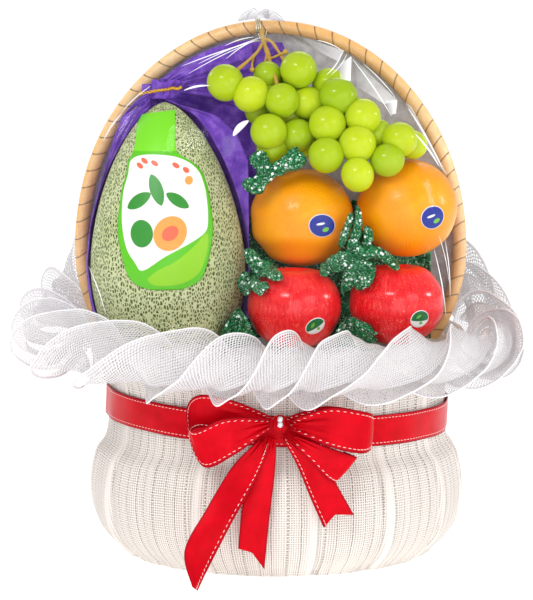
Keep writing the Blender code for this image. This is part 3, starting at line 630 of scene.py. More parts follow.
@dataclass(frozen=True)
class NettedRind(Finish):
    """Netted melon rind: corky pale net that stands up from the dark green skin."""

    cell: float = 2.0
    stretch: float = 0.56
    net_edge: tuple[float, float] = (0.09, 0.24)

    def paint(self, add: Add, shader: Node) -> None:
        """Pale cork on the net, dark skin between, lighter and greyer in broad patches."""
        place = add("TexCoord").outputs["Object"]
        long = add("VectorMath MULTIPLY", wander(add, place, 6.0, 1.2), (1.0, 1.0, self.stretch))
        cells = add("TexVoronoi", long, Scale=per_metre(self.cell), Randomness=0.85,
                    feature="DISTANCE_TO_EDGE")
        net = add("MapRange", cells, *self.net_edge, 1.0, 0.0, interpolation_type="SMOOTHSTEP")
        broad = add("TexNoise", place, Scale=per_metre(40.0), Detail=2.0)
        cork = add("ValToRGB", broad, stops={0.3: "#c8d194", 0.7: "#dce1b2"})
        skin = add("ValToRGB", broad, stops={0.3: "#455720", 0.7: "#667733"})
        both = add("MixRGB", net, skin, cork)
        grain = add("TexNoise", place, Scale=per_metre(0.8), Detail=2.0)
        height = add("Math MULTIPLY_ADD", grain, 0.3, net)
        wire(shader, {"Base Color": both, "Normal": add("Bump", Height=height, Distance=0.5 * MM)})


@dataclass(frozen=True)
class Nonwoven(Finish):
    """Spunbonded polypropylene cloth: matte and finely crinkled, with painted shade in the crinkles'
    hollows and painted light on their ridges.
    """

    deep: str = "#000000"
    pale: str = "#ffffff"
    crinkle: float = 9.0
    depth: float = 0.5

    def paint(self, add: Add, shader: Node) -> None:
        """Crinkles in relief, with painted shade and light that follow them in tone, and the fine dots of
        the bonding.
        """
        place = add("TexCoord").outputs["Object"]
        creases = add("TexNoise", place, Scale=per_metre(self.crinkle), Detail=5.0, Roughness=0.65)
        points = add("TexVoronoi", place, Scale=per_metre(1.1))
        bond = add("MapRange", points, 0.1, 0.5)
        # deep in the relief's hollows and pale on its ridges: painted shade and painted light
        tone = add("ValToRGB", creases, stops={0.32: self.deep, 0.5: self.base, 0.72: self.pale})
        dots = add("MixRGB", 0.1, tone, bond, blend_type="OVERLAY")
        height = add("Math MULTIPLY_ADD", bond, 0.12, creases)
        relief = add("Bump", Height=height, Distance=self.depth * MM)
        wire(shader, {"Base Color": dots, "Normal": relief, "Sheen Weight": 0.3, "Sheen Tint": self.pale})


@dataclass(frozen=True)
class OrangePeel(Finish):
    """Waxed orange peel: oil glands pit it, and the wax gives small soft highlights."""

    pore: float = 1.9

    def paint(self, add: Add, shader: Node) -> None:
        """Pits with a slightly deeper colour, and broad patches of yellow and orange."""
        place = add("TexCoord").outputs["Object"]
        pits = add("TexVoronoi", place, Scale=per_metre(self.pore))
        pit = add("MapRange", pits, 0.05, 0.5, interpolation_type="SMOOTHSTEP")
        fine = add("TexNoise", place, Scale=per_metre(3.0), Detail=3.0)
        height = add("Math MULTIPLY_ADD", fine, 0.7, pit)
        broad = add("TexNoise", place, Scale=per_metre(38.0), Detail=2.0)
        tone = add("ValToRGB", broad, stops={0.3: "#ff9a00", 0.7: "#ffae00"})
        pitted = add("MixRGB", pit, "#f88c00", tone)
        relief = add("Bump", Height=height, Distance=0.3 * MM, Strength=0.6)
        wire(shader, {"Base Color": pitted, "Normal": relief, "Subsurface Weight": 0.12,
                      "Specular IOR Level": 0.4, "Subsurface Radius": (1.0, 0.4, 0.1),
                      "Subsurface Scale": 2 * MM})


@dataclass(frozen=True)
class AppleSkin(Finish):
    """Polished red apple: fine streaks from stalk to foot, pale dots, a clear waxy shine."""

    streaks: float = 17.0
    dot_spacing: float = 4.2

    def paint(self, add: Add, shader: Node) -> None:
        """Streaks that run along the meridians, pale dots, and green-yellow in the dimple."""
        place = add("TexCoord").outputs["Object"]
        flat = add("VectorMath MULTIPLY", place, (1.0, 1.0, 0.0))
        round_it = add("VectorMath NORMALIZE", flat)
        up = add("VectorMath MULTIPLY", place, (3.0, 3.0, 9.0))
        meridian = add("VectorMath ADD", round_it, up)
        streak = add("TexNoise", meridian, Scale=self.streaks, Detail=4.0, Roughness=0.62)
        tone = add("ValToRGB", streak,
                   stops={0.3: "#dc0714", 0.46: "#f40f1d", 0.62: "#fd2b2c", 0.78: "#fc8258"})
        spots = add("TexVoronoi", place, Scale=per_metre(self.dot_spacing))
        spot = add("MapRange", spots, 0.06, 0.11, 0.65, 0.0)
        dotted = add("MixRGB", spot, tone, "#f8c79a")
        dimple = add("Attribute", attribute_name="dimple").outputs["Fac"]
        green = add("MixRGB", dimple, dotted, "#c9b436")
        wire(shader, {"Base Color": green, "Coat Weight": 0.7, "Coat Roughness": 0.15,
                      "Specular IOR Level": 0.15, "Subsurface Weight": 0.05,
                      "Subsurface Scale": 1.5 * MM})


@dataclass(frozen=True)
class GrapeSkin(Finish):
    """Green grape: thin tight skin over clear flesh, so light goes in and the rim glows."""

    def paint(self, add: Add, shader: Node) -> None:
        """Each berry has its own tint, with a light bloom in patches."""
        tint = add("Attribute", attribute_name="tint").outputs["Fac"]
        place = add("TexCoord").outputs["Object"]
        bloom = add("TexNoise", place, Scale=per_metre(7.0), Detail=3.0)
        shade = add("ValToRGB", tint, stops={0.0: "#9fbd10", 0.5: "#b1c915", 1.0: "#c3d51d"})
        dusty = add("MapRange", bloom, 0.45, 0.8, 0.0, 0.08)
        skin = add("MixRGB", dusty, shade, "#dfe9a0")
        wire(shader, {"Base Color": skin, "Subsurface Weight": 0.35, "Coat Weight": 0.25,
                      "Subsurface Radius": (0.9, 1.0, 0.25), "Subsurface Scale": 5 * MM,
                      "Coat Roughness": 0.1, "Specular IOR Level": 0.15})


@dataclass(frozen=True)
class GlitterTulle(Finish):
    """Green net with glitter glued on: dark net, dense pale green grains, each with its own shine."""

    grain: float = 0.9

    def paint(self, add: Add, shader: Node) -> None:
        """Grains by random cells: most mid green, many pale, a few nearly white."""
        place = add("TexCoord").outputs["Object"]
        cells = add("TexVoronoi", place, Scale=per_metre(self.grain)).outputs["Color"]
        pick = add("SeparateColor", cells)
        tone = add("ValToRGB", pick, stops={0.0: "#033c1e", 0.4: "#0a6331", 0.7: "#1a8346",
                                            0.9: "#48ad72", 0.98: "#d4f5e0"})
        tilt = add("VectorMath SUBTRACT", cells, (0.5, 0.5, 0.5))
        normal = add("NewGeometry").outputs["Normal"]
        leaned = add("VectorMath MULTIPLY_ADD", tilt, (0.7, 0.7, 0.7), normal)
        facing = add("VectorMath NORMALIZE", leaned)
        wire(shader, {"Base Color": tone, "Normal": facing, "Specular IOR Level": 0.3})


@dataclass(frozen=True)
class ClearFilm(Finish):
    """Biaxial polypropylene film: clear, with mirror-like reflections that grow towards the rim."""

    shine: float = 0.14

    def paint(self, add: Add, shader: Node) -> None:
        """Mostly clear, with a glossy layer whose share grows at a glancing view."""
        clear = add("BsdfTransparent", "#fdfdff")
        rim = add("Fresnel", self.ior)
        share = add("Math MULTIPLY", rim, self.shine)
        both = add("MixShader", share, clear, shader)
        wire(shader.id_data.nodes["Material Output"], {"Surface": both})


@dataclass(frozen=True)
class FilmSheen(Finish):
    """Painted light on the film where it is folded or faces a light: white that glows a little, partly
    see-through; in grey and without glow, painted shade on the gathered film.
    """

    alpha: float = 0.5
    glow: float = 0.25

    def paint(self, add: Add, shader: Node) -> None:
        """Painted colour that grows clearer away from the fold, with its glow."""
        clear = add("Attribute", attribute_name="clear").outputs["Fac"]
        opacity = add("Math MULTIPLY_ADD", clear, -self.alpha, self.alpha)
        wire(shader, {"Alpha": opacity, "Emission Color": self.base, "Emission Strength": self.glow})


@dataclass(frozen=True)
class LitFloor(Finish):
    """White floor that is lit from below, so that it reads as pure white round a soft shadow."""

    glow: float = 0.5

    def paint(self, add: Add, shader: Node) -> None:
        """Even white glow."""
        wire(shader, {"Emission Color": self.base, "Emission Strength": self.glow})


# Woven, spun and wound materials: all matte or softly shining
LINEN = SlubLinen("slub linen gauze", "#f1ebe0", 0.92)
TISSUE = Nonwoven("crumpled packing tissue", "#efe9df", 0.9, deep="#d8cfc0", pale="#fbf8f2")
MESH = OpenMesh("woven polypropylene mesh", "#e9e7e8", 0.55)
SELVAGE = Finish("woven mesh edge", "#f6f5f7", 0.55)
CANE = PeeledCane("peeled cane", "#e8b763", 0.42)
SATIN = Satin("polyester satin", "#d00620", 0.36, metallic=0.45)
THREAD = Finish("white cotton thread", "#f4efe8", 0.8)
CLOTH = Nonwoven("purple nonwoven", "#6f3fb5", 0.78, deep="#542d9e", pale="#9168d2")
LINING = Nonwoven("grey nonwoven lining", "#b9b6b9", 0.8, deep="#a29fa3", pale="#cfccd0")
TULLE = GlitterTulle("glitter tulle", "#1a6e40", 0.35)
FLAKE = Finish("glitter flake", "#f2fff6", 0.25, metallic=0.2)
# Plated metal and cut glass: small sharp glints
SILVER = Finish("silver plated setting", "#cfd2d6", 0.22, metallic=1.0)
CRYSTAL = Finish("cut glass stone", "#f2f5fa", 0.04, 1.7, 0.35)
GOLD_WIRE = Finish("gold coated wire", "#e3b23c", 0.32, metallic=0.7)
SILVER_WIRE = Finish("tinsel wire", "#e3d9b8", 0.25, metallic=0.8)
# Coated paper and printed label film: smooth and half glossy, in even clear colours
LIME_PAPER = Finish("lime printed paper", "#5cc408", 0.38)
STRAP_PAPER = Finish("bright lime printed paper", "#7ade16", 0.38)
WHITE_PAPER = Finish("white coated paper", "#f6f5ec", 0.35)
YELLOW_PAPER = Finish("lime yellow printed paper", "#8fd008", 0.38)
LEAF_INK = Finish("green ink on paper", "#2f8f2a", 0.38)
FLESH_INK = Finish("orange ink on paper", "#f6a24a", 0.38)
CORAL_INK = Finish("coral ink on paper", "#ef6a4a", 0.38)
BLUE_FILM = Finish("blue printed label film", "#0a2590", 0.3)
GREEN_FILM = Finish("green printed label film", "#12703a", 0.3)
WHITE_FILM = Finish("white label film", "#f4f6f4", 0.3)
LEAF_FILM = Finish("leaf green printed label film", "#6fbf3a", 0.3)
# Fruit, and the dry woody stalks of the grapes
RIND = NettedRind("netted melon rind", "#a5b070", 0.75)
PEEL = OrangePeel("orange peel", "#fb9a12", 0.24, 1.45)
APPLE = AppleSkin("apple skin", "#d4141f", 0.28, 1.45)
GRAPE = GrapeSkin("grape skin", "#c4de30", 0.24, 1.42)
STALK = Finish("grape stalk", "#c69d3c", 0.6)
BUD = Finish("dried flower end", "#c7a03a", 0.55)
# Clear film, with painted highlights where a fold or a lamp shows on it, and painted grey shade on its
# gathered tuft
FILM = ClearFilm("clear film", "#ffffff", 0.05, 1.45, 1.0)
# white that glows on the film's folds and where it faces a lamp: painted highlights
CREASE_HIGHLIGHT = FilmSheen("painted highlight on creased film", "#ffffff", 0.3, alpha=0.75)
SHEEN = FilmSheen("film in the light", "#ffffff", 0.25, alpha=0.4)
GLARE = FilmSheen("film facing a lamp", "#ffffff", 0.25, alpha=0.8)
# grey on the clear film's gathered tuft and its folds: painted shade
GATHER_SHADE = FilmSheen("painted shade on gathered film", "#9c969d", 0.3, alpha=0.7, glow=0.0)
FOLD_SHADE = FilmSheen("painted shade on folded film edge", "#8a838b", 0.3, alpha=0.7, glow=0.0)


# Basket


@dataclass(frozen=True)
class ClothBasket:
    """Pleated linen basket that bulges below the ribbon, with its packing up to the bed."""

    profile: Points = ((142.6, 166), (142.8, 171), (144.5, 175), (149, 174), (142.5, 155), (134, 138),
                       (134, 95), (143, 78), (147, 50), (142, 24), (127, 6), (110, 0), (2, 0))
    bed_radius: float = 143.0
    bed_height: float = 166.5
    waist: float = 116.0
    pleats: int = 20
    pleat_depth: float = 0.5
    pleat_fade: float = 40.0
    drift: Sequence[Triple] = ((3, 1.0, 0.07), (7, 0.0, 0.04))
    front_tucks: Sequence[float] = (-64, -25, 10.5, 35.5, 61)
    tuck_width: float = 3.6
    tuck_lean: float = 0.045
    tuck_radius: float = 140.0
    tuck_height: float = 1.3
    crease_depth: float = 1.5
    foot_crease: float = 3.0
    gather_size: float = 0.42
    soft_size: float = 0.28
    rim: float = 168.0
    crumple_size: float = 1.6
    edge_rise: float = 4.0
    cloth_width: float = 0.90
    cloth_height: float = 0.34
    thickness: float = 1.0
    seed: int = 11

    def tucks(self) -> list[tuple[float, float]]:
        """Each tuck's angle in radians and the side of its crease."""
        draw = np.random.default_rng(self.seed)
        back = [84 + 15.5 * index + draw.uniform(-3.5, 3.5) for index in range(13)]
        sides = draw.choice((-1.0, 1.0), size=len(self.front_tucks) + len(back))
        return [(math.radians(angle), side) for angle, side in zip((*self.front_tucks, *back), sides)]

    def relief(self, front: Array, height: Array) -> tuple[Array, Array]:
        """How far the cloth stands out, and how dense it looks, at an angle from the front."""
        angle = front - PI / 2
        pinch = ease(np.abs(height - self.waist) / self.pleat_fade)
        depth = self.pleat_depth * pinch * np.cos(self.pleats * (angle + ripple(angle, self.drift)))
        dense = np.zeros_like(front)
        for place, side in self.tucks():
            lean = -self.tuck_lean * math.sin(place) * (height - 60) / 60
            away = (np.mod(front - place - lean + PI, TAU) - PI) * self.tuck_radius
            hump = bell(away, 0.0, self.tuck_width)
            crease = bell(away, side * self.tuck_width * 1.35, self.tuck_width * 0.3)
            share = 0.3 + 0.7 * pinch
            depth = depth + share * (self.tuck_height * hump - self.crease_depth * crease)
            at_foot = bell(height, 0.0, 9.0) * bell(away, side * self.tuck_width, 5.0)
            depth = depth - self.foot_crease * at_foot
            dense = np.maximum(dense, hump)
        # The fine gathers show near the ribbon and just below the garland
        near = bell(height, self.waist, 34.0) + 0.6 * bell(height, self.rim, 12.0)
        gathers = ripple(front, random_waves(self.seed, (70, 130), self.gather_size, 7))
        soft = ripple(front, random_waves(self.seed + 1, (24, 52), self.soft_size))
        return depth + gathers * near + soft * (0.4 + pinch), dense

    def build(self) -> None:
        """Make the cloth and the packing that fills it."""
        shares = np.linspace(0, 1, 400)
        line = even_line(self.profile, shares)
        length = line_length(line)

        def where(u: Array, v: Array) -> tuple[Array, Array, Array]:
            radius, height = [np.interp(v, shares, column) for column in line.T]
            return u * TAU, radius, np.maximum(height, 0)

        def place(u: Array, v: Array) -> Array:
            front, radius, height = where(u, v)
            outside = ease((radius - 100) / 20) * ease(v / 0.06)
            radius = radius + self.relief(front, height)[0] * outside
            return round_axis(radius, front, height)

        def dense(u: Array, v: Array) -> Array:
            front, _, height = where(u, v)
            return self.relief(front, height)[1]

        threads = round(TAU * self.bed_radius / LINEN.thread_pitch)
        body = surface("basket_cloth", 600, 80, place, Edge.TUBE,
                       (threads * LINEN.thread_pitch, length), weld=True, marks={"dense": dense})
        thicken(body, self.thickness, -1.0)
        dress(body, LINEN, "linen", "basket_body")
        self.build_packing()

    def build_packing(self) -> None:
        """Crumpled tissue over the packing that the fruit lies on."""
        waves = [random_waves(self.seed + 20 + index, (3, 16), self.crumple_size, 8) for index in range(3)]

        def place(u: Array, v: Array) -> Array:
            angle, radius = u * TAU, self.bed_radius * v
            x, y = radius * np.sin(angle), -radius * np.cos(angle)
            crumple = (ripple(x / 55, waves[0]) + ripple(y / 55 + 1, waves[1])
                       + ripple((x + y) / 70, waves[2]))
            rise = self.edge_rise * ease((radius - 118) / 20)
            return stack(x, y, self.bed_height - 3.0 + crumple * ease(radius / 30) + rise)

        bed = thicken(surface("packing_tissue", 150, 46, place, Edge.TUBE, weld=True), 0.4)
        dress(bed, TISSUE, "linen")


@dataclass(frozen=True)
class Hoop:
    """Hoop wound with cane, an arch over the fruit that stands in the basket."""

    x: float = -5.0
    y: float = 20.0
    half_width: float = 152.0
    widest: float = 240.0
    rise: float = 176.0
    drop: float = 143.0
    tube: float = 5.5
    foot: float = 153.0
    winding: float = 14.5
    slant: float = 0.4
    joint_width: float = 0.5
    joint_depth: float = 0.3

    def half_at(self, height: Array, inset: float = 0.0) -> Array:
        """Half its width at a height, along its centre line or a line inset from it."""
        reach = np.where(height >= self.widest, self.rise, self.drop) - inset
        share = (height - self.widest) / reach
        return (self.half_width - inset) * np.sqrt(np.maximum(0, 1 - share * share))

    def line(self, count: int) -> Array:
        """Points along its centre line from the left foot over the top to the right foot."""
        share = np.linspace(-1, 1, count)
        drop_angle = math.asin((self.widest - self.foot) / self.drop)
        angle = np.abs(share) * (PI / 2 + drop_angle)
        reach = np.where(angle <= PI / 2, self.rise, self.drop)
        return stack(self.x + np.sign(share) * np.sin(angle) * self.half_width, self.y,
                     self.widest + np.cos(angle) * reach)

    def build(self) -> None:
        """Make the cane-wound tube."""
        count = 1500
        path = even_line(self.line(81), np.linspace(0, 1, count))
        length = line_length(path)
        side, other = line_frame(path, False)

        def windings(u: Array, v: Array) -> Array:
            return (v * length + np.sin(u * TAU) * self.tube * self.slant * 1.5) / self.winding + 50

        def joint(u: Array, v: Array) -> Array:
            run = windings(u, v)
            wander = 0.13 * np.sin(np.round(run) * 12.9898)
            away = np.abs(run + wander - np.round(run)) * self.winding
            return np.clip(1.4 - away / self.joint_width, 0, 1)

        def tone(u: Array, v: Array) -> Array:
            whole = np.floor(windings(u, v))
            return 0.22 + 0.2 * np.sin(whole * 78.233) * np.cos(whole * 3.1)

        def place(u: Array, v: Array) -> Array:
            index = np.rint(v * (count - 1)).astype(int)
            turn = u * TAU
            radius = self.tube - self.joint_depth * joint(u, v) + 0.12 * np.sin(turn * 3 + v * 40)
            out = side[index] * np.cos(turn)[:, None] + other[index] * np.sin(turn)[:, None]
            return path[index] + out * radius[:, None]

        hoop = surface("cane_hoop", 22, count - 1, place, Edge.TUBE, (TAU * self.tube, length),
                       marks={"joint": joint, "tone": tone})
        dress(hoop, CANE, "rattan", "hoop")


@dataclass(frozen=True)
class MeshGarland:
    """Wide mesh ribbon, twisted three times round the rim, so that its edges stand up in arches."""

    inner: float = 152.5
    half_width: float = 24.0
    wider_left: float = 3.6
    half_height: float = 24.5
    taller_left: float = 1.0
    height: float = 170.0
    higher_left: float = 2.5
    back_rise: float = 33.0
    back_taller: float = 13.0
    lobes: int = 26
    blades: int = 3
    arches: Sequence[float] = (-84, -64, -44, -22.7, -8.2, 1.3, 12.1, 32.6, 48.7, 68, 88)
    smoothing: float = 5.0
    rounding: float = 0.06
    reach: float = 1.15
    inner_edge: float = 0.6
    lap: float = math.radians(12)
    belly: float = 0.3
    cord: float = 0.6
    hem_width: float = 2.6
    twist_uneven: float = 0.09
    width_uneven: float = 0.045
    edge_flutter: float = 0.012
    fold_depth: float = 0.03
    steps: int = 2850
    across: int = 24
    seed: int = 7
    ribbon_width: float = 46.0
    middle_radius: float = 181.0
    slack: float = 1.25
    cut: tuple[float, float] = (0.052, 3.9)

    def centre(self, angle: Array) -> tuple[Array, Array, Array, Array]:
        """Radius and height of the twist's middle, and its half width and half height."""
        left = -np.cos(angle)
        half = self.half_width + self.wider_left * left
        back = ease((np.sin(angle) - 0.05) / 0.6)
        height = self.height + self.higher_left * left + self.back_rise * back
        tall = self.half_height + self.taller_left * left + self.back_taller * back
        return self.inner + half * self.reach, height, half, tall

    def count(self, angle: Array) -> Array:
        """How many arches lie before an angle: those of the front have their own places."""
        first, last = self.arches[0], self.arches[-1]
        rest = self.lobes - len(self.arches) + 1
        even = last + (first + 360 - last) / rest * np.arange(1, rest + 1)
        places = np.array((*self.arches, *even))
        places = np.concatenate([places[:-1] - 360, places, places[1:] + 360])
        numbers = np.arange(len(places)) - self.lobes
        turns = np.floor(angle / TAU)
        away = np.degrees(angle - turns * TAU) + 90
        away, turns = np.where(away > 180, away - 360, away), turns + (away > 180)
        spread = np.linspace(-self.smoothing, self.smoothing, 9)
        count = sum(np.interp(away + shift, places, numbers) for shift in spread) / 9 + self.lobes * turns
        return count - self.rounding * np.sin(TAU * count)

    def point(self, angle: Array, share: Array) -> Array:
        """Point on the ribbon, which goes round the basket once for each blade before it closes.

        Args:
            angle: angle round the basket from +X, up to that many turns.
            share: 0 at the ribbon's inner edge and 1 at its outer edge.

        Returns:
            Points in millimetres.
        """
        radius, height, half, tall = self.centre(angle)
        along = angle / self.blades
        step = TAU / self.blades
        turn = PI / 2 - step + step * self.count(angle)
        turn = turn + ripple(along, random_waves(self.seed, (5, 19), self.twist_uneven)) * share
        uneven = 1 + ripple(along, random_waves(self.seed + 4, (30, 60), self.width_uneven)) * share
        flutter = ripple(along, random_waves(self.seed + 8, (130, 220), self.edge_flutter)) * share ** 3
        shift = ripple(along, random_waves(self.seed + 12, (9, 40), 2.0, 5))
        folds = self.fold_depth * np.sin(share * 9 + shift)
        inner = np.array((math.cos(self.lap), -math.sin(self.lap))) * self.inner_edge
        way = np.array((math.cos(step), math.sin(step))) - inner
        out = unit(np.array((way[1], -way[0])))
        puff = (self.belly + folds) * np.sin(PI * share) + flutter
        flat = (inner + way * share[:, None] + out * puff[:, None]) * (self.reach * uneven)[:, None]
        ring = radius + half * (flat[:, 0] * np.cos(turn) - flat[:, 1] * np.sin(turn))
        rise = tall * (flat[:, 0] * np.sin(turn) + flat[:, 1] * np.cos(turn))
        return stack(ring * np.cos(angle), ring * np.sin(angle), height + rise)

    def build(self) -> None:
        """Make the mesh with the white woven cord along its edge."""
        whole = self.blades * TAU
        length = whole * self.middle_radius * self.slack

        def hem(u: Array, v: Array) -> Array:
            return ease(2 - 2 * np.minimum(u, 1 - u) * self.ribbon_width / self.hem_width)

        garland = surface("garland_mesh", self.across, self.steps, lambda u, v: self.point(v * whole, u),
                          Edge.BELT, (self.ribbon_width, length), marks={"hem": hem})
        dress(garland, MESH, "mesh", "mesh_garland")
        turns = np.arange(self.steps) / self.steps * whole
        edge = self.point(turns, np.ones_like(turns))
        dress(pipe("garland_edges", edge, self.cord, 6, closed=True), SELVAGE, "mesh")


# Ribbon


@dataclass(frozen=True)
class Strip:
    """A strip of the bow: stations along it give its left and right edge."""

    name: str
    stations: Sequence[tuple[Points, Points]]
    notch: float = 0.0
    closes: bool = False
    stitched: tuple[bool, bool] = (True, True)

    def edges(self, v: Array) -> tuple[Array, Array]:
        """Its left and right edge at shares of its length."""
        return (smooth_line([left for left, _ in self.stations], v),
                smooth_line([right for _, right in self.stations], v))

    def directions(self, v: Array) -> tuple[Array, Array, Array]:
        """Directions along it, across it and out of it."""
        step = 0.01
        ahead, behind = self.edges(np.minimum(v + step, 1)), self.edges(np.maximum(v - step, 0))
        along = unit(ahead[0] + ahead[1] - behind[0] - behind[1])
        left, right = self.edges(v)
        across = unit(right - left)
        return along, across, unit(np.cross(along, across))

    def point(self, u: Array, v: Array) -> Array:
        """Points on the strip, gathered into pleats where it goes into the knot."""
        left, right = self.edges(v)
        point = mix(left, right, u[:, None])
        along, _, normal = self.directions(v)
        if self.notch:
            cut = self.notch * (1 - np.abs(2 * u - 1)) * np.clip((v - 0.6) / 0.4, 0, 1)
            point = point - along * cut[:, None]
        gathered = bell(v, 0.0, 0.13) + (bell(v, 1.0, 0.11) if self.closes else 0.0)
        pleats = 0.95 * np.sin(u * PI * 7) + 0.5 * np.sin(u * PI * 12 + 1)
        belly = 0.8 * np.sin(u * PI) * np.sin(v * PI)
        wave = 0.5 * np.sin(v * 11 + 2 * u) * np.sin(v * PI)
        return point + normal * (pleats * gathered + belly + wave)[:, None]

    def length(self) -> float:
        """Its length along the middle."""
        left, right = self.edges(np.linspace(0, 1, 60))
        return line_length((left + right) / 2)


BOW = (
    Strip("loop_left", (
        ((-6, -143, 129), (-6, -143, 121)), ((-32, -147, 141), (-34, -147, 117)),
        ((-58, -151, 146.5), (-60, -151, 121)), ((-68, -156, 138), (-67, -157, 113)),
        ((-65, -163, 121), (-55, -166, 93.5)), ((-38, -166, 131), (-33, -167, 103)),
        ((-7, -154, 128), (-7, -155, 120))), closes=True),
    Strip("loop_right", (
        ((10, -143, 129), (10, -143, 121)), ((36, -147, 137), (36, -147, 113)),
        ((62, -150, 134), (62, -150, 109)), ((72, -155, 131), (70, -156, 106)),
        ((66, -163, 135.5), (62, -165, 104)), ((38, -165, 139), (40, -167, 109)),
        ((11, -154, 127), (11, -155, 120))), closes=True),
    Strip("loop_small", (
        ((9, -157.5, 113), (13, -157.5, 116)), ((24, -160, 98), (37, -159, 108)),
        ((37, -162, 84), (56, -160, 102)), ((43, -158.5, 81), (60, -157.5, 100)),
        ((36, -155, 89), (50, -155, 104))), stitched=(True, False)),
    Strip("tail_left", (
        ((-14, -152.5, 112), (-6, -152.5, 108)), ((-34, -158, 93), (-15, -158, 85)),
        ((-54, -171, 62), (-33, -172, 55)), ((-70, -183, 33), (-50, -184, 24)),
        ((-64, -195, 8), (-60, -195, 5))), stitched=(False, True)),
    Strip("tail_middle", (
        ((-9, -150, 114), (-1, -150, 112)), ((-21, -153, 90), (-2, -153, 88)),
        ((-27, -155, 60), (-6, -155, 54)), ((-30, -156, 29), (-10, -156, 13))), notch=5.0,
        stitched=(False, False)),
    Strip("tail_right", (
        ((3, -150, 114), (9, -150, 116)), ((14, -152, 94), (32, -152, 100)),
        ((24, -154, 70), (46, -154, 76)), ((35, -156, 45), (58, -156, 55))), notch=6.0,
        stitched=(True, False)),
)


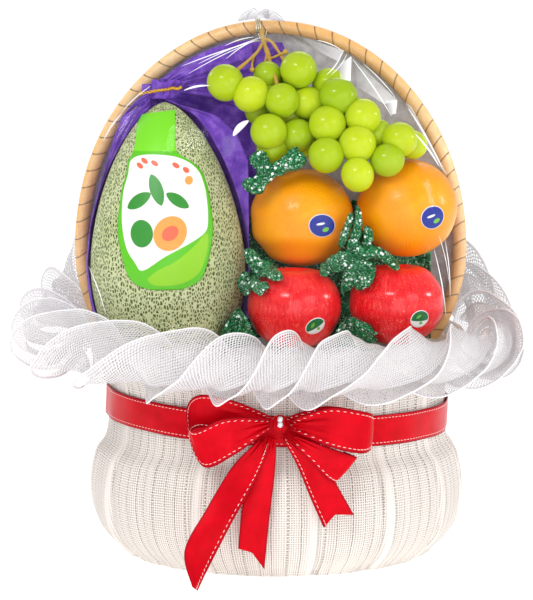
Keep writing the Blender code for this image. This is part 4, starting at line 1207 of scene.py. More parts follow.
@dataclass(frozen=True)
class Ribbon:
    """Satin ribbon round the waist with its bow, stitched along both edges."""

    band_radius: float = 136.9
    band_width: float = 24.0
    band_height: float = 116.0
    tilt: float = math.radians(2.5)
    thickness: float = 0.5
    pucker: float = 0.28
    margin: float = 2.4
    stitch_length: float = 2.9
    stitch_step: float = 3.7
    stitch_width: float = 0.56
    knot_centre: Triple = (2.0, -144.5, 123.0)
    knot_size: Triple = (11.0, 8.0, 14.0)
    knot_power: float = 0.7
    stone_forward: float = 5.2
    stone_radius: float = 1.9
    stone_rises: tuple[float, float] = (4.3, 0.2)

    def band_point(self, u: Array, v: Array) -> Array:
        """Point on the band: u goes round it from the back, v goes up its width."""
        angle = u * TAU + PI
        pucker = ripple(angle, random_waves(31, (9, 26), self.pucker)) * (0.5 + np.abs(2 * v - 1))
        radius = self.band_radius + pucker
        return round_axis(radius, angle, (v - 0.5) * self.band_width, self.tilt) + (0, 0, self.band_height)

    def hem(self, u: Array, width: float) -> Array:
        """Woven edge outside the stitches, from a share of the width."""
        return ease(1.5 - np.minimum(u, 1 - u) * width / (self.margin * 0.55))

    def build(self) -> None:
        """Make the band, the bow, the stitches, the knot and the set stones."""
        length = TAU * self.band_radius
        band = surface("waist_ribbon", 480, 14, self.band_point, Edge.TUBE, (length, self.band_width),
                       marks={"hem": lambda u, v: self.hem(v, self.band_width)})
        thicken(band, self.thickness)
        dress(band, SATIN, "ribbon", "ribbon_band")
        for strip in BOW:
            self.build_strip(strip)
        self.build_stitches()
        self.build_knot()
        self.build_stone()

    def build_strip(self, strip: Strip) -> None:
        """Make one strip of the bow."""
        length = strip.length()
        obj = surface("ribbon_" + strip.name, 28, max(60, round(length)), strip.point, Edge.OPEN,
                      (self.band_width, length), marks={"hem": lambda u, v: self.hem(u, self.band_width)})
        thicken(obj, self.thickness)
        dress(obj, SATIN, "ribbon", "bow_" + strip.name)

    def build_stitches(self) -> None:
        """White running stitches, each a small flat pill through the ribbon."""
        places, frames = [], []
        number = round(TAU * self.band_radius / self.stitch_step)
        around = np.arange(number) / number
        for share in (self.margin / self.band_width, 1 - self.margin / self.band_width):
            row = np.full_like(around, share)
            here, ahead = self.band_point(around, row), self.band_point(around + 0.001, row)
            along = unit(ahead - here)
            out = unit(here * (1, 1, 0))
            places.append(here)
            frames.append(self.stitch_frames(along, np.cross(out, along), out))
        for strip in BOW:
            count = round(strip.length() / self.stitch_step)
            v = (np.arange(count) + 0.5) / count
            along, across, normal = strip.directions(v)
            for side, wanted in zip((0, 1), strip.stitched):
                if not wanted:
                    continue
                left, right = strip.edges(v)
                width = np.linalg.norm(right - left, axis=1)
                share = np.minimum(self.margin / self.band_width * 0.5 + self.margin / width * 0.5, 0.3)
                u = share if side == 0 else 1 - share
                places.append(strip.point(u, v))
                frames.append(self.stitch_frames(along, across, normal))
        stitches = many("ribbon_stitches", ball(8, 6), np.vstack(frames), np.vstack(places))
        dress(stitches, THREAD, "ribbon")

    def stitch_frames(self, along: Array, across: Array, out: Array) -> Array:
        """Directions and sizes of stitches that lie along a line."""
        return np.stack([across * self.stitch_width / 2, out * self.thickness * 0.95,
                         along * self.stitch_length / 2], axis=1)

    def build_knot(self) -> None:
        """Band of the knot, folded lengthwise so that its creases run up and down."""
        centre, size = np.array(self.knot_centre), np.array(self.knot_size)

        def place(u: Array, v: Array) -> Array:
            polar, angle = v * PI, u * TAU
            way = direction(angle, polar)
            point = signed_power(way, self.knot_power) * size / 2
            crease = 0.32 * np.sin(point[:, 0] * 2.3 + 0.4) * np.sin(polar)
            point[:, 1] += np.where(way[:, 1] < 0, -crease, crease)
            return centre + point

        knot = surface("ribbon_knot", 72, 40, place, Edge.TUBE, (30, 16), weld=True,
                       marks={"hem": lambda u, v: 0 * u})
        dress(knot, SATIN, "ribbon", "bow_knot")

    def build_stone(self) -> None:
        """Two cut stones in a plated setting."""
        x, y, z = self.knot_centre
        ring = np.arange(8) / 8 * TAU
        table = stack(0.5 * np.cos(ring), 0 * ring - 0.55, 0.5 * np.sin(ring))
        girdle = stack(np.cos(ring + 0.39), 0 * ring, np.sin(ring + 0.39))
        points = np.vstack([table, girdle, [(0, 0.5, 0)]])
        faces = [list(range(8))]
        for index in range(8):
            after = (index + 1) % 8
            faces += [[index, index + 8, after], [after, index + 8, after + 8], [index + 8, 16, after + 8]]
        places = np.array([(x, y - self.stone_forward, z + rise) for rise in self.stone_rises])
        stones = many("knot_stones", (points, faces), np.array([np.eye(3) * self.stone_radius] * 2), places)
        stones.data.shade_flat()
        dress(stones, CRYSTAL, "stone", "bow_stone")
        rim = self.stone_radius * 1.25
        beds = many("stone_setting", ball(14, 8), np.array([np.diag((rim, 0.55, rim))] * 2),
                    places + (0, 0.5, 0))
        dress(beds, SILVER, "stone")


# Melon with its label and cloth


@dataclass(frozen=True)
class Melon:
    """Netted melon: egg-shaped, narrow at the top, with a shallow stalk scar."""

    centre: Triple = (-86.0, -34.0, 231.0)
    radius: float = 61.0
    top: float = 129.0
    bottom: float = 96.0
    tilt: float = math.radians(-1)

    def ring(self, height: Array) -> Array:
        """Radius at a height above the widest ring."""
        low = np.sqrt(np.maximum(0, 1 - (height / self.bottom) ** 2))
        high = np.maximum(0, 1 - (np.maximum(height, 0) / self.top) ** 1.7) ** 0.62
        return self.radius * np.where(height < 0, low, high)

    def point(self, angle: Array, polar: Array, offset: Array | float = 0.0) -> Array:
        """Point on the melon in the basket's frame.

        Args:
            angle: angle round its axis from the front.
            polar: angle from its top.
            offset: how far out of its surface.

        Returns:
            Points in millimetres.
        """
        height = np.where(np.cos(polar) > 0, self.top, self.bottom) * np.cos(polar)
        ring = self.ring(height) + offset * np.sin(polar)
        height = height + offset * np.cos(polar)
        return round_axis(ring, angle, height, self.tilt) + np.array(self.centre)

    def build(self) -> None:
        """Make the melon with its low ribs."""
        def place(u: Array, v: Array) -> Array:
            angle, polar = u * TAU, v * PI
            ribs = 0.5 * np.cos(angle * 9 + 0.6) * np.sin(polar) + ripple(
                angle, ((2, 0.3, 0.35), (5, 1.0, 0.3))) * np.sin(polar)
            return self.point(angle, polar, ribs - 0.3)

        dress(surface("netted_melon", 200, 130, place, Edge.TUBE, weld=True), RIND, "melon", "melon")


def patch(name: str, outline: Points, spot: Place, around: int = 72, rings: int = 10) -> Object:
    """Make a thin field of colour inside a smooth closed outline.

    Args:
        name: the piece's name.
        outline: the outline's points in the sticker's own millimetres, round its middle.
        spot: gives points in the basket's frame for both coordinates.
        around: faces round the outline.
        rings: faces from the middle to the outline.

    Returns:
        The new object.
    """
    knots = np.asarray(outline, float)
    closed = np.vstack([knots[-2:], knots, knots[:3]])
    inside = 1 / (len(closed) - 1)
    middle = knots.mean(axis=0)

    def place(u: Array, v: Array) -> Array:
        rim = smooth_line(closed, (2 + (u % 1.0) * len(knots)) * inside)
        flat = mix(middle, rim, v[:, None])
        return spot(flat[:, 0], flat[:, 1])

    return surface(name, around, rings, place, Edge.TUBE, weld=True)


def oval(centre: tuple[float, float], half: tuple[float, float], turn: float = 0.0,
         point: float = 1.0) -> Points:
    """Outline of an oval or, with a power over 1, of a pointed leaf."""
    angle = np.arange(24) / 24 * TAU
    a, b = half[0] * np.cos(angle), half[1] * np.sin(angle) * np.abs(np.sin(angle)) ** (point - 1)
    return stack(centre[0] + a * math.cos(turn) - b * math.sin(turn),
                 centre[1] + a * math.sin(turn) + b * math.cos(turn)).tolist()


@dataclass(frozen=True)
class MelonLabel:
    """Paper label on the melon's front with a strap over its top, printed in plain fields."""

    melon: Melon
    width: float = 78.0
    lift: float = 0.9
    foot: float = math.radians(97)
    sweep: float = math.radians(80)
    outline: Points = ((0.0, 0.30), (0.06, 0.72), (0.25, 1.0), (0.40, 0.96), (0.485, 0.89),
                       (0.585, 0.71), (0.64, 0.50), (0.69, 0.43), (0.80, 0.43), (0.96, 0.43))
    strap_shift: float = -8.0
    least_ring: float = 14.0
    tall: float = 152.0
    white_field: Points = ((-34.7, 0.41), (-34.9, 0.30), (-31, 0.20), (-24, 0.14), (-17.5, 0.105),
                           (0, 0.165), (18, 0.215), (32, 0.262), (34.8, 0.32), (34.2, 0.41),
                           (31.8, 0.485), (25.2, 0.58), (17, 0.622), (7, 0.638), (-7, 0.64),
                           (-18, 0.622), (-26, 0.58), (-32.4, 0.485))

    def spot(self, lift: float) -> Place:
        """Function from the label's own millimetres to points on the melon, lifted by so much."""
        def place(across: Array, up: Array) -> Array:
            share = up / self.tall
            polar = self.foot - share * self.sweep
            height = np.where(np.cos(polar) > 0, self.melon.top, self.melon.bottom) * np.cos(polar)
            across = across + self.strap_shift * ease((share - 0.52) / 0.14)
            angle = across / np.maximum(self.melon.ring(height), self.least_ring)
            return self.melon.point(angle, polar, self.lift + lift)
        return place

    def build(self) -> None:
        """Make the paper and the printed fields on it."""
        base = self.spot(0.0)
        widths = smooth_line(self.outline, np.linspace(0, 1, 200))

        def place(u: Array, v: Array) -> Array:
            share = v * (0.955 + 0.03 * (2 * u - 1))
            half = np.interp(share, widths[:, 0], widths[:, 1]) * self.width / 2
            return base((2 * u - 1) * half, share * self.tall)

        paper = thicken(surface("melon_paper", 60, 110, place, Edge.OPEN, (self.width, self.tall)), 0.35)
        dress(paper, LIME_PAPER, "label", "melon_label")
        self.build_strap()
        field = [(x, share * self.tall) for x, share in self.white_field]
        self.print_field("label_white", [field], 0.3, WHITE_PAPER, 12)
        self.print_field("label_lower", [[(-14, 10), (-6, 16), (8, 22), (22, 31), (33, 39), (34, 30),
                                          (27, 15), (14, 6), (0, 3.5), (-10, 5)]], 0.3, YELLOW_PAPER)
        self.print_field("label_leaves", [
            oval((-20, 62), (11, 4.5), 0.5, 1.4), oval((-6, 70), (12, 5), 1.9, 1.4),
            oval((10, 62), (10, 4), 2.6, 1.4), oval((-18, 40), (9, 9))], 0.5, LEAF_INK)
        self.print_field("label_fruit", [oval((4, 40), (13, 11), 0.4), oval((19, 76), (3.2, 3.2))],
                         0.6, FLESH_INK)
        self.print_field("label_blossom", [oval((x, y), (2.4, 2.4)) for x, y in
                                           ((-16, 88), (-10, 92), (-3, 90), (12, 88), (18, 84))],
                         0.5, CORAL_INK, 4)
        self.print_field("label_core", [oval((4, 40), (6.5, 4.6), 0.4)], 0.8, CORAL_INK, 5)

    def build_strap(self) -> None:
        """Brighter strap above the label's arch."""
        spot, widths = self.spot(0.28), smooth_line(self.outline, np.linspace(0, 1, 200))

        def place(u: Array, v: Array) -> Array:
            share = 0.66 + v * (0.293 + 0.03 * (2 * u - 1))
            half = np.interp(share, widths[:, 0], widths[:, 1]) * self.width / 2 - 0.3
            return spot((2 * u - 1) * half, share * self.tall)

        dress(surface("label_strap", 24, 36, place), STRAP_PAPER, "label")

    def print_field(self, name: str, outlines: Sequence[Points], lift: float, finish: Finish,
                    rings: int = 8) -> None:
        """Print one colour: one or more outlines, joined in one piece."""
        pieces = [patch(name + "_part", outline, self.spot(lift), rings=rings) for outline in outlines]
        dress(join(name, pieces), finish, "label")


@dataclass(frozen=True)
class MelonCloth:
    """Purple cloth round the back of the melon, tied above it, its end spread to a fan."""

    melon: Melon
    hoop: Hoop
    edges: Points = ((182, -141, -23.5), (205, -146, -22.5), (232, -149.5, -22.5), (262, -147, -22.5),
                     (290, -140, -22.5), (314, -133, -23), (334, -127, -31), (348, -121, -46),
                     (357, -113, -66), (364, -105.5, -83), (373, -105, -84))
    clear: float = 3.2
    neck: Triple = (-94.5, -22.0, 368.0)
    neck_radii: tuple[float, float] = (10.5, 6.5)
    edge_share: float = 0.14
    lap: float = math.radians(60)
    fan_centre: Triple = (-93.0, -20.0, 371.0)
    fan_inner: float = 13.0
    fan_reach: float = 80.0
    fan_right: float = -19.0
    fan_angles: tuple[float, float] = (math.radians(-16), math.radians(36))
    fan_back: float = 26.0
    thickness: float = 0.5
    wire_radius: float = 0.72
    twist_radius: float = 0.7

    def wrap_point(self, u: Array, v: Array) -> Array:
        """Point on the wrap: u from its left edge round the back to its right edge, v up."""
        height, left, right = columns_at(self.edges, v)
        ring = self.melon.ring(np.minimum(height - self.melon.centre[2], self.melon.top - 1)) + self.clear
        ring = ring + 1.2 * ease((height - 320) / 30)
        gathered = ease((height - 350) / 14)
        half_x, half_y = [mix(ring, radius, gathered) for radius in self.neck_radii]
        x, y = [mix(self.melon.centre[axis], self.neck[axis], gathered) for axis in (0, 1)]
        angle = PI * (1 - np.clip((u - self.edge_share) / (1 - 2 * self.edge_share), 0, 1))
        tight = ease((height - 300) / 50)
        folds = ripple(u * TAU, ((5, 0.3, 0.5), (9, 1.2, 0.35))) + tight * ripple(
            u * TAU, ((11, 0.5, 0.9), (17, 2.0, 0.7), (26, 1.0, 0.4)))
        back = stack(x + (half_x + folds) * np.cos(angle), y + (half_y + folds) * np.sin(angle), height)
        beyond = (np.maximum(0, np.abs(u - 0.5) - 0.5 + self.edge_share) / self.edge_share)[:, None]
        side = np.where(u < 0.5, -1.0, 1.0)
        wave = 0.6 * np.sin(height / 9.0 + side) + folds * 0.5
        edge = stack(np.where(side < 0, left, right), y - 4.0 + wave, height)
        closed = stack(x + side * half_x * math.cos(self.lap), y - half_y * math.sin(self.lap), height)
        return mix(back, mix(edge, closed, gathered[:, None]), ease(beyond))

    def fan_edge(self, angle: Array) -> Array:
        """Distance from the fan's centre to just inside the hoop, in each direction."""
        reach = np.linspace(self.fan_inner, self.fan_reach, 120)[:, None]
        x = self.fan_centre[0] + reach * np.cos(angle)
        z = self.fan_centre[2] + reach * np.sin(angle)
        free = (np.abs(x - self.hoop.x) < self.hoop.half_at(z, self.hoop.tube + 3.0)) & (x < self.fan_right)
        return np.where(free, reach, self.fan_inner).max(axis=0)

    def fan_point(self, u: Array, v: Array) -> Array:
        """Point on the fan: u from its upper edge to its lower edge, v outwards."""
        grid = np.linspace(0, 1, 200)
        angles = mix(self.fan_angles[1], self.fan_angles[0], grid)
        angle = np.interp(u, grid, angles)
        reach = np.interp(u, grid, self.fan_edge(angles))
        radius = mix(self.fan_inner * 0.6, reach, v)
        folds = ripple(u * TAU, ((2, 0.0, 1.3), (5, 0.6, 0.8), (9, 2.2, 0.5))) * ease(v * 2.4)
        tight = ripple(u * TAU, ((7, 0.2, 1.0), (13, 1.5, 0.6))) * (1 - ease(v * 2.0))
        depth = self.fan_centre[1] + self.fan_back * ease(v * 1.4) + folds + tight
        return stack(self.fan_centre[0] + radius * np.cos(angle), depth,
                     self.fan_centre[2] + radius * np.sin(angle))

    def build(self) -> None:
        """Make the wrap, the fan, the puffed gather above the tie, and the tie."""
        wrap = surface("melon_wrap", 180, 170, self.wrap_point, Edge.OPEN, (330, 215))
        thicken(wrap, self.thickness)
        dress(wrap, CLOTH, "cloth", "cloth_wrap")
        fan = surface("cloth_spread", 120, 70, self.fan_point, Edge.OPEN, (60, 70))
        thicken(fan, self.thickness)
        dress(fan, CLOTH, "cloth", "cloth_fan")
        self.build_spread()
        self.build_gather()
        self.build_tail()
        self.build_tie()

    def build_spread(self) -> None:
        """The rest of the cloth, spread behind the melon's right side and up to the hoop's top."""
        rows = ((172, -44, -16), (230, -42, -15), (280, -46, -15), (305, -62, -16), (325, -80, -18),
                (343, -98, -18), (358, -118, -12), (372, -112, -2), (388, -92, 4), (400, -66, 6),
                (404.5, -52, 4))

        def place(u: Array, v: Array) -> Array:
            height, left, right = columns_at(rows, v)
            left = np.maximum(left, self.hoop.x - self.hoop.half_at(height, self.hoop.tube + 2.0))
            x = mix(left, right, u)
            turn = np.arctan2(height - self.neck[2], x - self.neck[0] + 6)
            folds = ripple(turn, ((9, 0.5, 1.3), (17, 1.9, 0.8), (31, 0.7, 0.4)))
            lap = 1.6 * np.sin(u * 8 + height / 40)
            return stack(x, 9.0 + folds + lap - 4 * ease((u - 0.8) / 0.2), height)

        spread = thicken(surface("cloth_behind", 90, 150, place), self.thickness)
        dress(spread, CLOTH, "cloth")

    def build_gather(self) -> None:
        """Bunched cloth that puffs out above the tie."""
        centre = np.array(self.neck) + (2.5, 0, 0)

        def place(u: Array, v: Array) -> Array:
            angle = u * TAU
            flare = 1 + 0.12 * ease(v) + 0.06 * np.sin(v * 9)
            pleats = 1 + 0.10 * np.sin(angle * 9 + v * 1.5) + 0.07 * np.sin(angle * 5 + 1)
            x = self.neck_radii[0] * flare * pleats * np.cos(angle)
            y = self.neck_radii[1] * flare * pleats * np.sin(angle)
            return centre + stack(x + 7 * v, y, -6 + 14 * v + 1.2 * np.sin(angle * 4) * v)

        gather = thicken(surface("cloth_gather", 120, 30, place, Edge.TUBE, (70, 16)), self.thickness)
        dress(gather, CLOTH, "cloth")

    def build_tail(self) -> None:
        """Short end of the cloth that hangs to the left of the tie."""
        middle = ((-100, -27, 365), (-109, -31, 360), (-117, -34, 353), (-124, -36, 345))
        widths = ((9,), (12,), (13,), (10,))

        def place(u: Array, v: Array) -> Array:
            line, half = smooth_line(middle, v), smooth_line(widths, v)[:, 0] / 2
            across = np.array((0.62, -0.1, 0.78))
            fold = 1.1 * np.sin(u * TAU * 2.5 + v) * (1 - 0.4 * v)
            return line + across * ((2 * u - 1) * half)[:, None] + stack(0 * u, fold - 1.5, 0 * u)

        tail = thicken(surface("cloth_tail", 40, 50, place, Edge.OPEN, (16, 40)), self.thickness)
        dress(tail, CLOTH, "cloth")

    def build_tie(self) -> None:
        """Two gold wires twisted together round the neck, their ends twisted off to the right."""
        turn = np.linspace(0, TAU, 160)[:-1]
        radii = (self.neck_radii[0] + 3.0, self.neck_radii[1] + 3.0)
        ring = np.array(self.neck) + stack(radii[0] * np.cos(turn), radii[1] * np.sin(turn),
                                          2.0 * np.cos(turn) + 0.4 * np.sin(3 * turn))
        pieces = self.twisted(ring, 14, True)
        start = np.array(self.neck) + (9.0, -8.0, 1.6)
        tail = start + smooth_line(((0, 0, 0), (3.5, -1.8, 1.0), (7, -1.5, 0.2), (10.5, -2.0, 1.8)),
                                   np.linspace(0, 1, 50))
        pieces += self.twisted(tail, 4, False)
        dress(join("gold_twist_tie", pieces), GOLD_WIRE, "wire", "cloth_tie")

    def twisted(self, path: Array, twists: int, closed: bool) -> list[Object]:
        """Two wires wound round a path."""
        side, other = line_frame(path, closed)
        turn = np.linspace(0, TAU * twists, len(path), endpoint=not closed)[:, None]
        outs = [side * np.cos(turn + start) + other * np.sin(turn + start) for start in (0.0, PI)]
        return [pipe("wire", path + self.twist_radius * out, self.wire_radius, 7, closed) for out in outs]


# Round fruit, stickers, grapes


@dataclass(frozen=True)
class RoundFruit:
    """An orange or an apple, modelled about its own centre."""

    name: str
    centre: Triple
    radius: float
    flatness: float = 0.03
    squash: float = 1.0
    dimple: tuple[float, float] = (0.0, 0.3)
    foot_dimple: tuple[float, float] = (0.0, 0.3)
    taper: float = 0.0
    seed: int = 1
    uneven: tuple[float, float] = (0.45, 0.35)

    def point(self, way: Array, offset: float = 0.0) -> Array:
        """Point about the centre in a direction."""
        polar = np.arccos(np.clip(way[:, 2], -1, 1))
        hollow = self.dimple[0] * bell(polar, 0.0, self.dimple[1])
        hollow = hollow + self.foot_dimple[0] * bell(polar, PI, self.foot_dimple[1])
        narrow = self.taper * (1 - np.cos(polar)) * np.sin(polar)
        radius = self.radius * (1 - self.flatness * way[:, 2] ** 2 - hollow - narrow) + offset
        return way * (1, 1, self.squash) * radius[:, None]

    def build(self, finish: Finish, slot: str) -> Object:
        """Make the fruit slightly uneven, as each one grows."""
        waves = random_waves(self.seed, (2, 5), self.uneven[0], 4)
        lobes = random_waves(self.seed + 1, (2, 6), self.uneven[1], 4)

        def place(u: Array, v: Array) -> Array:
            polar, angle = v * PI, u * TAU
            way = direction(angle, polar)
            uneven = ripple(angle, waves) * np.sin(polar) + ripple(polar * 2, lobes) * np.sin(polar)
            return self.point(way) + way * (uneven - 0.2)[:, None]

        def dimple(u: Array, v: Array) -> Array:
            return ease(1.1 - v * PI / 0.24) * 0.85 + 0.35 * ease(1.2 - (1 - v) * PI / 0.3)

        fruit = surface(self.name + "_skin", 180, 110, place, Edge.TUBE, weld=True,
                        marks={"dimple": dimple})
        fruit.location = Vector(self.centre) * MM
        return dress(fruit, finish, slot, self.name)

    def spot(self, x: float, z: float, turn: float, lift: float) -> Place:
        """Function from a sticker's own millimetres to points on the fruit, lifted by so much."""
        centre = np.array(self.centre)
        out = np.array((x - centre[0], 0.0, z - centre[2]))
        out[1] = -math.sqrt(self.radius ** 2 - out @ out)
        normal = unit(out)
        side = unit(np.cross((0.0, 0.0, 1.0), normal))
        up = np.cross(side, -normal)
        roll = math.radians(turn)

        def place(across: Array, along: Array) -> Array:
            a = across * math.cos(roll) - along * math.sin(roll)
            b = across * math.sin(roll) + along * math.cos(roll)
            way = unit(normal * self.radius + a[:, None] * side + b[:, None] * up)
            return centre + self.point(way, lift)
        return place

    def sticker(self, x: float, z: float, width: float, height: float, turn: float, field: Finish,
                slot: str) -> None:
        """Put on an oval sticker: a white rim, a coloured field and plain shapes in it."""
        half = (width / 2, height / 2)
        stem = self.name + "_sticker"
        rim = patch(stem, oval((0, 0), half), self.spot(x, z, turn, 0.55), rings=6)
        thicken(rim, 0.2)
        dress(rim, WHITE_FILM, slot, "sticker_" + self.name)
        inner = (half[0] - 0.7, half[1] - 0.7)
        if field is BLUE_FILM:
            fields = [(field, oval((0, 0), inner)), (LEAF_FILM, oval((3.2, -2.6), (3.0, 1.8), 0.4, 1.3)),
                      (WHITE_FILM, oval((-2.0, 1.2), (3.6, 0.9), 0.3))]
        else:
            upper = [(a, b) if b > -0.5 else (a, -0.5 + 0.18 * (b + 0.5)) for a, b in oval((0, 0), inner)]
            fields = [(field, upper), (LEAF_FILM, oval((-1.6, 2.6), (2.6, 1.3), 0.7, 1.3)),
                      (LEAF_FILM, oval((1.2, -3.6), (1.5, 1.5)))]
        for index, (finish, outline) in enumerate(fields):
            part = patch("%s_%d" % (stem, index), outline,
                         self.spot(x, z, turn, 0.72 if index == 0 else 0.85), rings=5)
            dress(part, finish, slot)


ORANGES = (RoundFruit("orange_left", (19, -31, 268.5), 40.0, seed=3),
           RoundFruit("orange_right", (102, -29, 276), 40.0, seed=8))
APPLES = tuple(RoundFruit(name, centre, 38.5, 0.0, 0.9, (0.26, 0.34), (0.14, 0.3), 0.04, seed)
               for name, centre, seed in (("apple_left", (13, -69, 202), 21),
                                          ("apple_right", (93.5, -54, 203), 27)))


@dataclass(frozen=True)
class Grapes:
    """Bunch of green grapes that hangs from the hoop and leans on the oranges."""

    front: Points = (
        (-40.5, 375.4, 14.2), (-20.5, 366.6, 14.2), (3.8, 362.0, 13.7), (16.6, 385.2, 14.3),
        (47.8, 365.2, 14.3), (-6.6, 338.3, 13.9), (39.0, 344.0, 14.3), (66.6, 349.6, 14.0),
        (62.2, 328.8, 14.5), (37.8, 320.6, 13.8), (62.1, 306.0, 13.2), (85.4, 316.4, 13.2),
        (95.5, 331.8, 13.8))
    back: Points = ((-7.5, 380.0, 11.5), (40.5, 374.0, 12.5), (-4.0, 325.0, 12.2), (106.0, 326.5, 11.5),
                    (24.3, 359.0, 13.2), (15.4, 334.2, 13.4), (78.2, 335.5, 11.5))
    hidden: Points = ((-14, 352, 11.5), (52, 336, 12), (84, 328, 11.5), (34, 350, 12), (10, 348, 12),
                      (60, 352, 11.5), (22, 328, 11), (11, 372, 11))
    top: float = 385.0
    top_y: float = -38.0
    slope: float = 0.42
    step_back: float = 12.0
    core_back: float = 24.0
    core_roll: float = math.radians(24)
    core_middle: tuple[float, float] = (32.0, 348.0)
    core_radii: Triple = (54.0, 9.0, 17.0)
    seed: int = 5

    def depth(self, x: Array, height: Array) -> Array:
        """y of the front berries: the bunch leans forward and curls back at the right."""
        curl = np.maximum(0, (np.asarray(x) - 45) / 60) ** 2
        return self.top_y - self.slope * (self.top - np.asarray(height)) + 12 * curl

    def build(self) -> None:
        """Make the berries over their core, and the stalks."""
        rows = np.array([(*berry, 0.0) for berry in self.front]
                        + [(*berry, self.step_back) for berry in self.back]
                        + [(*berry, 2.1 * self.step_back) for berry in self.hidden])
        x, z, radius, back = rows.T
        places = stack(x, self.depth(x, z) + back, z)
        draw = np.random.default_rng(self.seed)
        sizes = radius[:, None] * draw.uniform(0.97, 1.03, (len(rows), 3))
        sizes[:, 2] *= 1.04
        berries = many("grape_berries", ball(48, 32), random_frames(self.seed, sizes), places,
                       draw.uniform(0, 1, len(rows)))
        dress(berries, GRAPE, "grape", "grape_bunch")
        middle_x, middle_z = self.core_middle
        roll, lean = self.core_roll, math.atan(self.slope)
        along = np.array((math.cos(roll), 0, -math.sin(roll)))
        up = np.array((math.sin(roll), 0, math.cos(roll)))
        tilt = np.array(((1, 0, 0), (0, math.cos(lean), math.sin(lean)),
                         (0, -math.sin(lean), math.cos(lean))))
        frame = np.stack([along, (0, 1, 0), up]) * np.array(self.core_radii)[:, None] @ tilt
        place = np.array([(middle_x, float(self.depth(middle_x, middle_z)) + self.core_back, middle_z)])
        inside = many("grape_core", ball(32, 20), frame[None], place, np.array([0.0]))
        dress(inside, GRAPE, "grape")
        self.build_stalks()

    def build_stalks(self) -> None:
        """Stalk, its branches to the berries that hang from them, and dried ends where berries came off."""
        lines = (
            (1.8, ((-12.4, 11, 413), (-11.6, 2, 409), (-9.5, -12, 402.4), (-6.7, -22, 394.6))),
            (1.4, ((-6.7, -22, 394.6), (-4.3, -32, 386.8), (-2.0, -38, 381), (-0.2, -43, 374))),
            (1.3, ((-11.6, -10, 404), (-15.7, -20, 398.1), (-21.1, -27, 393.1), (-31.5, -34, 384.5))),
            (0.9, ((-16.5, -20, 397.4), (-18.4, -22, 394), (-19.6, -27, 390.1), (-19.6, -31, 386.5))),
            (1.1, ((-8.0, -20, 396), (-9.7, -27, 390.1), (-11.2, -32, 385.6), (-12.4, -37, 379.5))),
            (1.2, ((-10.8, -4, 407.6), (-4.9, -12, 406.1), (0.5, -20, 399.3), (5.6, -29, 391.6))),
            (0.9, ((-6.9, -22, 393.6), (-3, -24, 394.2), (2.5, -26, 396.8), (5.9, -27, 397.9))))
        pieces = []
        for radius, points in lines:
            path = even_line(points, np.linspace(0, 1, 40))
            swell = radius * (1 + 0.25 * bell(np.linspace(0, 1, 40), 1.0, 0.12)
                              + 0.12 * np.sin(np.linspace(0, 17, 40)))
            pieces.append(pipe("stalk", path, swell, 10))
        dress(join("grape_stalks", pieces), STALK, "stem", "grape_stem")
        ends = np.array([(-19.6, -32, 385.0), (6.3, -27.5, 398.6), (3.5, -26.5, 397.0)])
        sizes = np.array([(2.1, 2.1, 2.4), (2.1, 2.1, 2.2), (1.3, 1.3, 1.3)])
        buds = many("stalk_ends", ball(20, 14), random_frames(2, sizes), ends)
        dress(buds, BUD, "stem")


def build_stem_tie(hoop: Hoop) -> None:
    """Tinsel wire that ties the grape stalk to the hoop."""
    turn = np.linspace(0, TAU * 3, 150)
    radius = hoop.tube + 1.5
    coil = np.array((-15.0, hoop.y, hoop.widest + hoop.rise)) + stack(
        turn / TAU * 1.5 - 2.2, radius * np.cos(turn), radius * np.sin(turn) - 0.3)
    tail = np.array((-15.0, 12.2, 411.0)) + smooth_line(
        ((0, 0, 0), (3, -1.5, -5), (5.5, -2, -2), (7, -2.5, 3)), np.linspace(0, 1, 40))
    pieces = [pipe("coil", coil, 0.6, 8), pipe("tail", tail, 0.5, 8)]
    dress(join("tinsel_tie", pieces), SILVER_WIRE, "wire", "stem_tie")


# Tulle


@dataclass(frozen=True)
class Frond:
    """One folded strip of tulle: its middle line in the front view and half its width along it."""

    line: Points
    halves: Sequence[float]

    def place(self, u: Array, v: Array, front: Place, lift: float, seed: int) -> Array:
        """Points on the strip, puffed out from what the front view meets behind it.

        Args:
            u: share across it.
            v: share along it.
            front: gives y of what lies behind for x and z.
            lift: how far the strip's edges stand in front of that.
            seed: seed of its crumples.

        Returns:
            Points in millimetres.
        """
        middle = smooth_line(self.line, v)
        ahead, behind = [smooth_line(self.line, v + step) for step in (0.02, -0.02)]
        way = unit(ahead - behind)
        half = smooth_line([(half,) for half in self.halves], v)[:, 0]
        half = half * (1 - np.abs(2 * v - 1) ** 6 * 0.75)
        half = half * (1 + ripple(v * TAU, random_waves(seed, (2, 7), 0.08, 4)))
        side = 2 * u - 1
        x = middle[:, 0] - way[:, 1] * half * side
        z = middle[:, 1] + way[:, 0] * half * side
        puff = np.minimum(half, 6) * 0.8 * (1 - side ** 2)
        crumple = 0.5 * np.sin(side * 9 + v * 4 + seed) + ripple(
            v * TAU + side * 2, random_waves(seed + 3, (3, 9), 0.5, 5))
        return stack(x, front(x, z) - lift - puff + crumple, z)

    def size(self) -> tuple[float, float]:
        """Its flat width and length, with what the crumples take up."""
        length = line_length(smooth_line(self.line, np.linspace(0, 1, 30)))
        return 3.6 * float(np.mean(self.halves)), 1.3 * length


